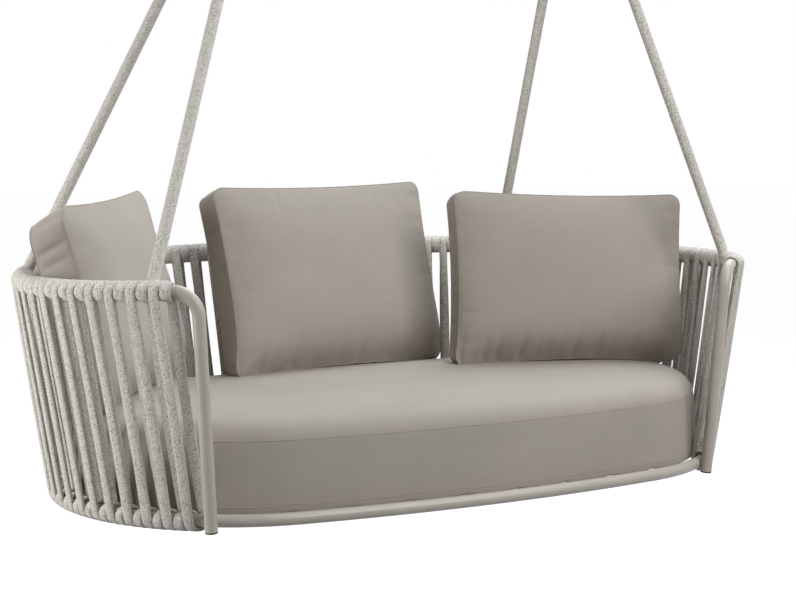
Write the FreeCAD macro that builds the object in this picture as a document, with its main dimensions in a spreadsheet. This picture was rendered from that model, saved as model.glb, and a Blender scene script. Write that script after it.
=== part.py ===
import FreeCAD, Part
import math
import os

Vec = FreeCAD.Vector
UP = Vec(0, 0, 1)
ALONG = Vec(1, 0, 0)
ACROSS = Vec(0, 1, 0)

doc = FreeCAD.newDocument("swing_sofa")
sheet = doc.addObject("Spreadsheet::Sheet", "sizes")

# Driving sizes in millimetres and degrees.
# The sofa's own heights are counted from the middle of the base ring's tube.
SIZES = {
    # Frame: a wrapped top rail on two bent posts, and an oval base ring
    "tube_diameter": 30,
    "rail_half_length": 975,
    "rail_rear_radius": 478,
    "rail_front_radius": 518,
    "rail_height": 513,
    "rail_crown": 28,
    "rail_wrap_angle": 51.4,
    "rail_flare": 76,
    "base_half_length": "=rail_half_length - rail_flare",
    "base_rear_radius": 400,
    "base_front_radius": 466,
    "front_bow": 30,
    "base_front_depth": "=base_front_radius + front_bow",
    "front_arc_count": 2,
    "rear_arc_count": 3,
    "back_arc_count": 4,
    "post_foot_angle": 57.4,
    "post_setback": 58,
    "post_foot_drop": 17,
    "weld_gap": 0.3,
    "cap_diameter": 29,
    "cap_thickness": 4,
    # Deck that carries the seat cushion
    "cross_tube_diameter": 16,
    "cross_tube_count": 8,
    "cross_tube_step": 3,
    "slat_count": 5,
    "slat_width": 70,
    "slat_thickness": 6,
    "slat_front_inset": 126,
    "slat_rear_inset": 140,
    "slat_front": "=slat_front_inset - base_front_radius",
    "slat_rear": "=base_rear_radius - slat_rear_inset",
    "slat_end_inset": 48,
    # Woven rope
    "rope_thickness": 9.4,
    "rope_width": 20,
    "rope_gap": 0.6,
    "rope_foot_gap": 1.5,
    "weave_units": 64,
    "side_units": 22,
    "wrap_sides": 6,
    "lashing_sides": 14,
    "strand_bends": 4,
    "ring_way_share": 0.62,
    # Four hanging ropes, each lashed to the rail at a wrap station
    "hanging_rope_diameter": 28,
    "left_front_station": 0.5,
    "left_rear_station": 12.5,
    "right_rear_station": 43.5,
    "right_front_station": 59.5,
    # Hangers on the ceiling
    "hanger_half_spacing": 460,
    "ceiling_to_base": 1849,
    "sofa_offset_x": -109,
    "sofa_offset_y": -37,
    "plate_length": 150,
    "plate_width": 90,
    "plate_thickness": 8,
    "screw_half_spacing": 50,
    "screw_hole_diameter": 11,
    "ear_width": 44,
    "ear_thickness": 8,
    "pin_drop": 50,
    "pin_diameter": 12,
    "pin_hole_diameter": 13,
    "hex_width": 19,
    "head_thickness": 7.5,
    "nut_thickness": 10,
    "nut_bore_play": 0.05,
    "washer_diameter": 24,
    "washer_thickness": 2.5,
    "thread_end": 6,
    "bush_diameter": 22,
    "bush_length": 30,
    "bush_press_play": 0.02,
    "bush_running_play": 0.05,
    "side_play": 0.3,
    "lug_boss_diameter": 40,
    "lug_boss_width": 26,
    "lug_thickness": 14,
    "lug_width": 34,
    "lug_length": 62,
    "lug_hole_diameter": 16,
    "lug_play": 1.0,
    "ring_mean_radius": 45,
    "ring_wire_diameter": 12,
    "left_eye_angle": 24,
    "right_eye_angle": 10,
    "eye_half_spread": 14,
    "eye_hole_diameter": 18,
    "eye_play": 2.0,
    "tongue_width": 32,
    "tongue_thickness": 10,
    "tongue_length": 75,
    "sleeve_diameter": 36,
    "sleeve_length": 70,
    # Seat cushion
    "seat_rest_gap": 0.3,
    "seat_thickness": 205,
    "seat_crown": 10,
    "seat_side_gap": 32,
    "seat_edge": 45,
    "seat_lower_edge": 9,
    "seat_bulge": 5,
    "seat_crown_run": 130,
    "seat_crown_middle": 300,
    "edge_share": 0.293,
    "crown_share": 0.8,
    # Three loose cushions of one make
    "cushion_depth": 145,
    "cushion_corner": 42,
    "cushion_draw_in": 11,
    "cushion_bulge": 4,
    "cushion_shoulder": 55,
    "cushion_middle_share": 0.303,
    "seam_share": 0.24,
    "shoulder_share": 0.1,
    "left_cushion_width": 565,
    "left_cushion_height": 502,
    "left_cushion_inset": 263,
    "left_cushion_x": "=left_cushion_inset - rail_half_length",
    "left_cushion_y": 143,
    "left_cushion_z": 215.9,
    "left_cushion_turn": 49.9,
    "left_cushion_lean": 15.5,
    "left_cushion_roll": 2.2,
    "centre_width_growth": 1.1,
    "corner_cushion_share": 364.5,
    "centre_cushion_width": "=centre_width_growth * rail_half_length - corner_cushion_share",
    "centre_cushion_height": 495,
    "centre_cushion_x": -44,
    "centre_cushion_y": 327,
    "centre_cushion_z": 220.6,
    "centre_cushion_turn": 10.1,
    "centre_cushion_lean": 14.9,
    "centre_cushion_roll": 0.3,
    "right_cushion_width": 679,
    "right_cushion_height": 472,
    "right_cushion_inset": 391,
    "right_cushion_x": "=rail_half_length - right_cushion_inset",
    "right_cushion_y": 99,
    "right_cushion_z": 219,
    "right_cushion_turn": -13.7,
    "right_cushion_lean": 9.5,
    "right_cushion_roll": -1.5,
}
for row, (alias, value) in enumerate(SIZES.items(), start=1):
    sheet.set(f"A{row}", alias)
    sheet.set(f"B{row}", str(value))
    sheet.setAlias(f"B{row}", alias)
doc.recompute()


def size(alias):
    """A driving size as the sheet holds it."""
    return float(sheet.get(alias))


def angle(alias):
    """A driving angle in radians."""
    return math.radians(size(alias))


nodes = {}


def keep(label, item, place=None):
    """Name a finished piece, put it in its place and list it for export."""
    item.Label = label
    if place is not None:
        item.Placement = place
    nodes[label] = item
    return item


def bound(kind, name, **sizes):
    """A Part primitive whose sizes follow the sheet."""
    item = doc.addObject(kind, name)
    for prop, formula in sizes.items():
        item.setExpression(prop.replace("_", "."), formula)
    return item


def joined(name, pieces):
    """Several solids welded into one."""
    weld = doc.addObject("Part::MultiFuse", name)
    weld.Shapes = pieces
    weld.Refine = True
    return weld


def drilled(name, body, tools):
    """A solid with the tools' shapes taken out of it."""
    cut = doc.addObject("Part::Cut", name)
    cut.Base = body
    cut.Tool = tools[0] if len(tools) == 1 else joined(name + "_tools", tools)
    cut.Refine = True
    return cut


def facing(direction, origin, side=ALONG):
    """Placement whose local Z is the direction and whose local X leans to the side."""
    z_axis = Vec(direction).normalize()
    x_axis = (side - z_axis * side.dot(z_axis)).normalize()
    y_axis = z_axis.cross(x_axis)
    turn = FreeCAD.Rotation(x_axis, y_axis, z_axis, "ZXY")
    return FreeCAD.Placement(origin, turn)


tube_radius = size("tube_diameter") / 2
wrap_radius = tube_radius + size("rope_gap") + size("rope_thickness")
sofa_shift = Vec(size("sofa_offset_x"), size("sofa_offset_y"), -size("ceiling_to_base"))
sofa_place = FreeCAD.Placement(sofa_shift, FreeCAD.Rotation())


class PlanRun:
    """Half oval seen from above: left front corner, back, right front corner."""

    def __init__(self, half_length, rear_radius, front_radius, front_angle):
        front_x = half_length - front_radius
        rear_x = half_length - rear_radius
        quarter = math.pi / 2
        self.pieces = [
            (-front_x, front_radius, math.pi + front_angle, math.pi),
            (-rear_x, rear_radius, math.pi, quarter),
            (rear_x, rear_radius, quarter, 0.0),
            (front_x, front_radius, 0.0, -front_angle),
        ]
        self.back_length = 2 * rear_x
        self.lengths = [radius * (start - end) for _, radius, start, end in self.pieces]
        self.lengths.insert(2, self.back_length)
        self.length = sum(self.lengths)

    def breaks(self, counts):
        """Distances along the run that divide each stretch evenly."""
        marks = [0.0]
        for stretch, count in zip(self.lengths, counts):
            start = marks[-1]
            marks += [start + stretch * (step + 1) / count for step in range(count)]
        return marks

    def at(self, distance):
        """Point and direction of travel in plan."""
        part = 0
        while part < len(self.lengths) - 1 and distance > self.lengths[part]:
            distance -= self.lengths[part]
            part += 1
        if part == 2:
            rear_x, rear_radius = self.pieces[2][:2]
            return Vec(distance - rear_x, rear_radius, 0), Vec(1, 0, 0)
        centre_x, radius, start, _ = self.pieces[part if part < 2 else part - 1]
        turn = start - distance / radius
        point = Vec(centre_x + radius * math.cos(turn), radius * math.sin(turn), 0)
        return point, Vec(math.sin(turn), -math.cos(turn), 0)


rail_run = PlanRun(
    size("rail_half_length"),
    size("rail_rear_radius"),
    size("rail_front_radius"),
    angle("rail_wrap_angle"),
)
foot_margin = (tube_radius + size("rope_foot_gap")) / size("base_front_radius")
base_run = PlanRun(
    size("base_half_length"),
    size("base_rear_radius"),
    size("base_front_radius"),
    angle("post_foot_angle") - foot_margin,
)


def rail_at(distance):
    """Point and direction on the rail's centre line, which crowns in the middle of the back."""
    point, travel = rail_run.at(distance)
    share = point.x / size("rail_half_length")
    point.z = size("rail_height") + size("rail_crown") * (1 - share**2)
    slope = -2 * size("rail_crown") * share / size("rail_half_length") * travel.x
    return point, Vec(travel.x, travel.y, slope).normalize()


# Top rail and both posts: one bent tube


def bend(start, corner, end):
    """Arc that leaves the start and meets the end along the lines through the corner."""
    half_turn = (corner - start).getAngle(end - start)
    weight = math.cos(half_turn)
    middle = (start + corner * (2 * weight) + end) * (1 / (2 + 2 * weight))
    return Part.Arc(start, middle, end).toShape()


def double_bend(start, start_way, end, end_way):
    """Two arcs that join two points along given directions without a kink."""
    chord = end - start
    both = start_way + end_way
    square = 2 * (start_way.dot(end_way) - 1)
    linear = -2 * chord.dot(both)
    whole = chord.dot(chord)
    if abs(square) < 1e-9:
        reach = -whole / linear
    else:
        root = math.sqrt(linear**2 - 4 * square * whole)
        reach = (-linear - root) / (2 * square)
    first = start + start_way * reach
    last = end - end_way * reach
    middle = (first + last) * 0.5
    return [bend(start, first, middle), bend(middle, last, end)]


def foot_point(side):
    """Middle of a post's foot, beside the base ring on its outer front corner."""
    turn = angle("post_foot_angle")
    outward = Vec(side * math.cos(turn), -math.sin(turn), 0)
    corner_x = side * (size("base_half_length") - size("base_front_radius"))
    reach = size("base_front_radius") + size("tube_diameter") + size("weld_gap")
    return Vec(corner_x, 0, 0) + outward * reach


def post(side):
    """Foot end, post direction and path edges from the foot up to the woven rail."""
    rail_end, travel = rail_at(0.0 if side < 0 else rail_run.length)
    onward = travel * side
    knee = rail_end + onward * size("post_setback")
    down = (foot_point(side) - knee).normalize()
    foot = foot_point(side) + down * (size("post_foot_drop") / abs(down.z))
    bend_end = knee + down * size("post_setback")
    turn = onward.getAngle(down)
    radius = size("post_setback") / math.tan(turn / 2)
    edges = [Part.LineSegment(foot, bend_end).toShape(), bend(bend_end, knee, rail_end)]
    return foot, down, edges, radius


left_foot, left_down, left_edges, left_radius = post(-1)
right_foot, right_down, right_edges, right_radius = post(1)
rail_edges = []
half_counts = [int(size("front_arc_count")), int(size("rear_arc_count"))]
rail_marks = rail_run.breaks(half_counts + [int(size("back_arc_count"))] + half_counts[::-1])
for first, last in zip(rail_marks, rail_marks[1:]):
    rail_edges += double_bend(*rail_at(first), *rail_at(last))
rail_path = doc.addObject("Part::Feature", "rail_path")
rail_path.Shape = Part.Wire(left_edges + rail_edges + right_edges[::-1])
print("post bend radius", round(left_radius, 1), round(right_radius, 1))
print("rail path", round(rail_path.Shape.Length, 1))

rail_section = bound("Part::Circle", "rail_section", Radius="sizes.tube_diameter / 2")
rail_section.Placement = facing(-left_down, left_foot)
rail_sweep = doc.addObject("Part::Sweep", "rail_sweep")
rail_sweep.Sections = [rail_section]
rail_sweep.Spine = rail_path
rail_sweep.Solid = True
keep("top_rail", rail_sweep, sofa_place)

for label, foot, down in (
    ("left_post_cap", left_foot, left_down),
    ("right_post_cap", right_foot, right_down),
):
    cap = bound(
        "Part::Cylinder",
        label,
        Radius="sizes.cap_diameter / 2",
        Height="sizes.cap_thickness",
    )
    keep(label, cap, sofa_place * facing(down, foot))


# Base ring: one closed tube


def oval(inset, height):
    """Closed outline of the base ring, drawn in by the inset, at a height."""
    rear = size("base_rear_radius") - inset
    front = size("base_front_radius") - inset
    depth = size("base_front_depth") - inset
    rear_x = size("base_half_length") - size("base_rear_radius")
    front_x = size("base_half_length") - size("base_front_radius")
    rise = depth - front
    bow_y = (front_x**2 - rise**2) / (2 * rise)
    bow_radius = depth + bow_y
    join = math.atan2(bow_y, front_x)

    def corner(side, radius, centre_x, turn):
        return Vec(side * (centre_x + radius * math.cos(turn)), radius * math.sin(turn), height)

    quarter = math.pi / 2
    half = quarter / 2
    front_middle = Vec(0, bow_y - bow_radius, height)
    left_join = corner(-1, front, front_x, -join)
    right_join = corner(1, front, front_x, -join)
    left_side = corner(-1, front, front_x, 0)
    right_side = corner(1, front, front_x, 0)
    left_back = corner(-1, rear, rear_x, quarter)
    right_back = corner(1, rear, rear_x, quarter)
    left_front_middle = corner(-1, front, front_x, -join / 2)
    right_front_middle = corner(1, front, front_x, -join / 2)
    return Part.Wire([
        Part.Arc(left_join, left_front_middle, left_side).toShape(),
        Part.Arc(left_side, corner(-1, rear, rear_x, half), left_back).toShape(),
        Part.LineSegment(left_back, right_back).toShape(),
        Part.Arc(right_back, corner(1, rear, rear_x, half), right_side).toShape(),
        Part.Arc(right_side, right_front_middle, right_join).toShape(),
        Part.Arc(right_join, front_middle, left_join).toShape(),
    ])


def ring_front(x_at):
    """Depth of the inner face of the base ring's front run at a distance from the middle."""
    front = size("base_front_radius")
    front_x = size("base_half_length") - front
    rise = size("base_front_depth") - front
    bow_y = (front_x**2 - rise**2) / (2 * rise)
    inside = tube_radius + size("weld_gap")
    beyond = x_at - front_x
    if beyond > front * math.cos(math.atan2(bow_y, front_x)):
        return -math.sqrt((front - inside) ** 2 - beyond**2)
    return bow_y - math.sqrt((size("base_front_depth") + bow_y - inside) ** 2 - x_at**2)


ring_path = doc.addObject("Part::Feature", "ring_path")
ring_path.Shape = oval(0.0, 0.0)
ring_section = bound("Part::Circle", "ring_section", Radius="sizes.tube_diameter / 2")
ring_start = ring_path.Shape.OrderedVertexes[0].Point
ring_edge = ring_path.Shape.OrderedEdges[0]
ring_section.Placement = facing(ring_edge.tangentAt(ring_edge.FirstParameter), ring_start, UP)
ring_sweep = doc.addObject("Part::Sweep", "ring_sweep")
ring_sweep.Sections = [ring_section]
ring_sweep.Spine = ring_path
ring_sweep.Solid = True
keep("base_ring", ring_sweep, sofa_place)

# Woven rope: closed belts over both tubes, with a plain wrap between neighbours

unit_count = int(size("weave_units"))
side_count = int(size("side_units"))
strand_offset = tube_radius + size("rope_gap") + size("rope_thickness") / 2


def spread(run):
    """Pitch of the woven units and the first station along a run."""
    ends = size("rope_width")
    pitch = (run.length - ends) / (unit_count + 0.5)
    return pitch, ends / 2 + pitch / 4


rail_pitch, rail_first = spread(rail_run)
base_pitch, base_first = spread(base_run)


def station(unit):
    """Rail and base points and directions at a unit number, whole or half."""
    rail_point, rail_way = rail_at(rail_first + rail_pitch * unit)
    base_point, base_way = base_run.at(base_first + base_pitch * unit)
    return rail_point, rail_way, base_point, base_way


def rope_prism(origin, outward, upward, travel, outer, inner, pitch):
    """Rope of flat section round an outline, its inner side set back by half a pitch."""
    lag = pitch / (4 * strand_offset)
    width = size("rope_width")

    def placed(points):
        spots = [
            origin + outward * a + upward * b + travel * (lag * a - width / 2)
            for a, b in points
        ]
        return Part.makePolygon(spots + spots[:1])

    face = Part.makeFace([placed(outer), placed(inner)], "Part::FaceMakerBullseye")
    return face.extrude(travel * width)


def round_points(radius, centre, start, end, count):
    """Points on an arc, both ends included."""
    turns = [start + (end - start) * step / count for step in range(count + 1)]
    return [(radius * math.cos(turn), centre + radius * math.sin(turn)) for turn in turns]


def belt(unit):
    """One rope strand pair: up outside, over the rail, down inside, under the ring."""
    rail_point, rail_way, base_point, base_way = station(unit)
    reach = rail_point - base_point
    upward = Vec(reach).normalize()
    ring_share = size("ring_way_share")
    travel = (rail_way * (1 - ring_share) + base_way * ring_share).normalize()
    outward = upward.cross(travel).normalize()
    bends = int(size("strand_bends"))
    skew = max(travel.cross(rail_way).Length, travel.cross(base_way).Length)
    gap = size("rope_gap") + size("rope_width") * skew
    inside = (tube_radius + gap) / math.cos(math.pi / (2 * bends))
    outlines = []
    for radius in (wrap_radius, inside):
        over = round_points(radius, reach.Length, 0.0, math.pi, bends)
        under = round_points(radius, 0.0, math.pi, 2 * math.pi, bends)
        outlines.append(over + under)
    pitch = (rail_pitch + base_pitch) / 2
    return rope_prism(base_point, outward, upward, travel, *outlines, pitch)


def wrap(unit, on_rail, sides):
    """One plain turn of rope round the rail or the base ring."""
    rail_point, rail_way, base_point, base_way = station(unit)
    centre = rail_point if on_rail else base_point
    travel = rail_way if on_rail else base_way
    outward = (rail_point - base_point).cross(travel).normalize()
    upward = travel.cross(outward)
    inside = (tube_radius + size("rope_gap")) / math.cos(math.pi / sides)
    half_side = math.pi / sides
    outlines = [
        round_points(radius, 0.0, half_side, half_side + 2 * math.pi, sides)[:-1]
        for radius in (wrap_radius, inside)
    ]
    pitch = rail_pitch if on_rail else base_pitch
    return rope_prism(centre, outward, upward, travel, *outlines, pitch)


def group(label, solids):
    """Repeated rope pieces kept as one named sub-part."""
    item = doc.addObject("Part::Feature", label)
    item.Shape = Part.makeCompound(solids)
    return keep(label, item, sofa_place)


lashings = {
    corner: size(corner + "_station")
    for corner in ("left_front", "left_rear", "right_rear", "right_front")
}
tube_count = int(size("cross_tube_count"))
tube_stations = [
    unit_count / 2 + size("cross_tube_step") * (step - (tube_count - 1) / 2)
    for step in range(tube_count)
]
sections = {
    "left": (0, side_count),
    "back": (side_count, unit_count - side_count + 1),
    "right": (unit_count - side_count + 1, unit_count + 1),
}
turn_sides = int(size("wrap_sides"))
for part, (first, last) in sections.items():
    group(part + "_strands", [belt(unit) for unit in range(first, last)])
    turns = [unit + 0.5 for unit in range(first, min(last, unit_count))]
    rail_turns = [unit for unit in turns if unit not in lashings.values()]
    base_turns = [unit for unit in turns if unit not in tube_stations]
    group(part + "_rail_wraps", [wrap(unit, True, turn_sides) for unit in rail_turns])
    group(part + "_base_wraps", [wrap(unit, False, turn_sides) for unit in base_turns])
for corner, unit in lashings.items():
    group(corner + "_lashing", [wrap(unit, True, int(size("lashing_sides")))])
print("rail pitch", round(rail_pitch, 2), "base pitch", round(base_pitch, 2))

# Deck: cross tubes welded into the ring between the wraps, with slats on top

cross_radius = size("cross_tube_diameter") / 2
cross_solids = []
for unit in tube_stations:
    spot, _ = base_run.at(base_first + base_pitch * unit)
    cross_x = spot.x - base_pitch / 4
    outer_x = abs(cross_x) + cross_radius
    front_end = ring_front(outer_x)
    rear_reach = size("base_rear_radius") - tube_radius - size("weld_gap")
    rear_x = size("base_half_length") - size("base_rear_radius")
    rear_end = math.sqrt(rear_reach**2 - max(0.0, outer_x - rear_x) ** 2)
    cross_solids.append(
        Part.makeCylinder(cross_radius, rear_end - front_end, Vec(cross_x, front_end, 0), ACROSS)
    )
group("deck_cross_tubes", cross_solids)

slat_bottom = cross_radius + size("weld_gap")
slat_count = int(size("slat_count"))
slat_solids = []
for step in range(slat_count):
    share = step / (slat_count - 1)
    slat_y = size("slat_front") * (1 - share) + size("slat_rear") * share
    reaches = []
    for edge_y in (slat_y - size("slat_width") / 2, slat_y + size("slat_width") / 2):
        key = "base_rear_radius" if edge_y > 0 else "base_front_radius"
        inside = size(key) - size("slat_end_inset")
        corner_x = size("base_half_length") - size(key)
        reaches.append(corner_x + math.sqrt(inside**2 - edge_y**2))
    slat_half = min(reaches)
    corner = Vec(-slat_half, slat_y - size("slat_width") / 2, slat_bottom)
    slat_solids.append(
        Part.makeBox(2 * slat_half, size("slat_width"), size("slat_thickness"), corner)
    )
group("deck_slats", slat_solids)

# Seat cushion: boxed sides with a rounded edge and a crowned top

seat_bottom = slat_bottom + size("slat_thickness") + size("seat_rest_gap")


def seat_levels():
    """Inset and height of each outline from the bottom to the top of the crown."""
    gap = size("seat_side_gap")
    edge = size("seat_edge")
    soft = edge * size("edge_share")
    lower = size("seat_lower_edge")
    lower_soft = lower * size("edge_share")
    thick = size("seat_thickness")
    crown = size("seat_crown")
    return [
        (gap + lower, 0.0),
        (gap + lower_soft, lower_soft),
        (gap, lower),
        (gap - size("seat_bulge"), (lower + thick - edge) / 2),
        (gap, thick - edge),
        (gap + soft, thick - soft),
        (gap + edge, thick),
        (gap + size("seat_crown_run"), thick + crown * size("crown_share")),
        (gap + size("seat_crown_middle"), thick + crown),
    ]


def loft(name, wires):
    """Solid through a row of outlines."""
    outlines = []
    for number, wire in enumerate(wires):
        outline = doc.addObject("Part::Feature", f"{name}_outline_{number}")
        outline.Shape = wire
        outlines.append(outline)
    skin = doc.addObject("Part::Loft", name)
    skin.Sections = outlines
    skin.Solid = True
    skin.Ruled = True
    return skin


seat_wires = [oval(inset, seat_bottom + height) for inset, height in seat_levels()]
keep("seat_cushion", loft("seat_cushion", seat_wires), sofa_place)

# Loose cushions: boxed, crowned on both faces, with drawn-in sides


def cushion_outline(width, height, inset, draw_in, depth):
    """Rounded outline with sides that bow inwards between the corners."""
    half = width / 2 - inset
    low = inset
    high = height - inset
    round_off = size("cushion_corner")
    diagonal = round_off * (1 - math.sqrt(2) / 2)
    centre_z = (low + high) / 2

    def spot(x_at, z_at):
        return Vec(x_at, -depth, z_at)

    def arc(first, through, last):
        return Part.Arc(spot(*first), spot(*through), spot(*last)).toShape()

    def corner(side, level, inward):
        end = (side * (half - round_off), level)
        start = (side * half, level + inward * round_off)
        through = (side * (half - diagonal), level + inward * diagonal)
        return start, through, end

    right_low = corner(1, low, 1)
    right_high = corner(1, high, -1)
    left_high = corner(-1, high, -1)
    left_low = corner(-1, low, 1)
    return Part.Wire([
        arc(*right_low[::-1]),
        arc(right_low[0], (half - draw_in, centre_z), right_high[0]),
        arc(*right_high),
        arc(right_high[2], (0.0, high - draw_in), left_high[2]),
        arc(*left_high[::-1]),
        arc(left_high[0], (draw_in - half, centre_z), left_low[0]),
        arc(*left_low),
        arc(left_low[2], (0.0, low + draw_in), right_low[2]),
    ])


def cushion_levels(width, height):
    """Inset, draw-in and depth of each outline from the back to the front face."""
    deep = size("cushion_depth")
    draw = size("cushion_draw_in")
    middle_inset = size("cushion_middle_share") * min(width, height)
    shoulder = size("cushion_shoulder")
    seam = size("seam_share")
    upper = size("shoulder_share")
    return [
        (middle_inset, draw, 0.0),
        (shoulder, draw, deep * upper),
        (0.0, draw, deep * seam),
        (-size("cushion_bulge"), draw, deep / 2),
        (0.0, draw, deep * (1 - seam)),
        (shoulder, draw, deep * (1 - upper)),
        (middle_inset, draw, deep),
    ]


for label, prefix in (
    ("left_side_cushion", "left"),
    ("centre_back_cushion", "centre"),
    ("right_back_cushion", "right"),
):
    own = prefix + "_cushion_"
    face = (size(own + "width"), size(own + "height"))
    cushion = loft(label, [cushion_outline(*face, *level) for level in cushion_levels(*face)])
    turn = FreeCAD.Rotation(UP, size(own + "turn"))
    turn = turn * FreeCAD.Rotation(ALONG, -size(own + "lean"))
    turn = turn * FreeCAD.Rotation(ACROSS, -size(own + "roll"))
    stand = Vec(size(own + "x"), size(own + "y"), size(own + "z"))
    keep(label, cushion, sofa_place * FreeCAD.Placement(stand, turn))

# Hangers: ceiling plate with ears, bolt, washers, nut, bush, swing lug and ring

TO_SIDE = FreeCAD.Rotation(ACROSS, 90)
wire_radius = size("ring_wire_diameter") / 2
lug_hole_z = -size("pin_drop") - size("lug_length")
lug_slack = size("lug_hole_diameter") / 2 - wire_radius - size("lug_play")
ring_centre_z = lug_hole_z - lug_slack - size("ring_mean_radius")


def side_cylinder(name, centre_x, height_z, radius, length):
    """Cylinder along the sofa, centred on a point of the hanger's middle plane."""
    item = bound("Part::Cylinder", name, Radius=radius, Height=length)
    doc.recompute()
    start = Vec(centre_x - item.Height.Value / 2, 0, height_z)
    item.Placement = FreeCAD.Placement(start, TO_SIDE)
    return item


def middle_box(name, centre, **sizes):
    """Box centred on a point, its sizes bound to the sheet."""
    item = bound("Part::Box", name, **sizes)
    doc.recompute()
    half = Vec(item.Length.Value, item.Width.Value, item.Height.Value) * 0.5
    item.Placement.Base = centre - half
    return item


def hex_prism(name, start_x, height_z, thickness):
    """Hexagon head or nut blank along the sofa."""
    item = bound(
        "Part::Prism",
        name,
        Circumradius="sizes.hex_width / 2 / cos(30 deg)",
        Height=thickness,
    )
    item.Polygon = 6
    item.Placement = FreeCAD.Placement(Vec(start_x, 0, height_z), TO_SIDE)
    return item


def hanger_plate(side, at_x):
    """Ceiling plate with two screw holes and two ears for the bolt."""
    name = side + "_hanger_plate"
    thick = size("plate_thickness")
    pin_z = -size("pin_drop")
    plate = middle_box(
        name + "_plate",
        Vec(at_x, 0, -thick / 2),
        Length="sizes.plate_width",
        Width="sizes.plate_length",
        Height="sizes.plate_thickness",
    )
    ear_x = size("bush_length") / 2 + size("side_play") + size("ear_thickness") / 2
    pieces = [plate]
    for number, offset in enumerate((-ear_x, ear_x)):
        pieces.append(middle_box(
            f"{name}_ear_{number}",
            Vec(at_x + offset, 0, pin_z / 2),
            Length="sizes.ear_thickness",
            Width="sizes.ear_width",
            Height="sizes.pin_drop",
        ))
        pieces.append(side_cylinder(
            f"{name}_ear_end_{number}",
            at_x + offset,
            pin_z,
            "sizes.ear_width / 2",
            "sizes.ear_thickness",
        ))
    tools = [side_cylinder(
        name + "_pin_hole",
        at_x,
        pin_z,
        "sizes.pin_hole_diameter / 2",
        "sizes.plate_width",
    )]
    for number, offset in enumerate((-1, 1)):
        hole = bound(
            "Part::Cylinder",
            f"{name}_screw_hole_{number}",
            Radius="sizes.screw_hole_diameter / 2",
            Height="sizes.plate_thickness",
        )
        hole.Placement.Base = Vec(at_x, offset * size("screw_half_spacing"), -thick)
        tools.append(hole)
    keep(name, drilled(name, joined(name + "_weld", pieces), tools))


def hanger_bolt(side, at_x):
    """Hexagon bolt along the sofa with washers and nut."""
    pin_z = -size("pin_drop")
    outer = size("bush_length") / 2 + size("side_play") + size("ear_thickness")
    head_x = at_x - outer - size("washer_thickness")
    nut_x = at_x + outer + size("washer_thickness")
    name = side + "_hanger_bolt"
    head = hex_prism(
        name + "_head", head_x - size("head_thickness"), pin_z, "sizes.head_thickness"
    )
    shank = bound("Part::Cylinder", name + "_shank", Radius="sizes.pin_diameter / 2")
    shank.Height = nut_x + size("nut_thickness") + size("thread_end") - head_x
    shank.Placement = FreeCAD.Placement(Vec(head_x, 0, pin_z), TO_SIDE)
    keep(name, joined(name, [head, shank]))

    name = side + "_hanger_nut"
    blank = hex_prism(name + "_blank", nut_x, pin_z, "sizes.nut_thickness")
    bore = side_cylinder(
        name + "_bore",
        nut_x,
        pin_z,
        "sizes.pin_diameter / 2 + sizes.nut_bore_play",
        "sizes.nut_thickness * 4",
    )
    keep(name, drilled(name, blank, [bore]))

    name = side + "_hanger_washers"
    washers = []
    for start_x in (head_x, nut_x - size("washer_thickness")):
        place = (Vec(start_x, 0, pin_z), ALONG)
        disc = Part.makeCylinder(size("washer_diameter") / 2, size("washer_thickness"), *place)
        hole = Part.makeCylinder(size("pin_hole_diameter") / 2, size("washer_thickness"), *place)
        washers.append(disc.cut(hole))
    item = doc.addObject("Part::Feature", name)
    item.Shape = Part.makeCompound(washers)
    keep(name, item)


def swing_lug(side, at_x):
    """Boss on the bolt with a tongue that carries the ring, and its plastic bush."""
    pin_z = -size("pin_drop")
    name = side + "_swing_lug"
    boss = side_cylinder(
        name + "_boss", at_x, pin_z, "sizes.lug_boss_diameter / 2", "sizes.lug_boss_width"
    )
    tongue = middle_box(
        name + "_tongue",
        Vec(at_x, 0, pin_z - size("lug_length") / 2),
        Length="sizes.lug_thickness",
        Width="sizes.lug_width",
        Height="sizes.lug_length",
    )
    tip = side_cylinder(
        name + "_tip", at_x, lug_hole_z, "sizes.lug_width / 2", "sizes.lug_thickness"
    )
    bore = side_cylinder(
        name + "_bore",
        at_x,
        pin_z,
        "sizes.bush_diameter / 2 + sizes.bush_press_play",
        "sizes.lug_boss_width * 2",
    )
    eye = side_cylinder(
        name + "_eye",
        at_x,
        lug_hole_z,
        "sizes.lug_hole_diameter / 2",
        "sizes.lug_boss_width * 2",
    )
    keep(name, drilled(name, joined(name + "_forging", [boss, tongue, tip]), [bore, eye]))

    name = side + "_swing_bush"
    sleeve = side_cylinder(
        name + "_sleeve", at_x, pin_z, "sizes.bush_diameter / 2", "sizes.bush_length"
    )
    hole = side_cylinder(
        name + "_hole",
        at_x,
        pin_z,
        "sizes.pin_diameter / 2 + sizes.bush_running_play",
        "sizes.bush_length * 2",
    )
    keep(name, drilled(name, sleeve, [hole]))

    ring = bound(
        "Part::Torus",
        side + "_hanging_ring",
        Radius1="sizes.ring_mean_radius",
        Radius2="sizes.ring_wire_diameter / 2",
    )
    on_edge = FreeCAD.Rotation(ALONG, 90)
    keep(side + "_hanging_ring", ring, FreeCAD.Placement(Vec(at_x, 0, ring_centre_z), on_edge))


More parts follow.
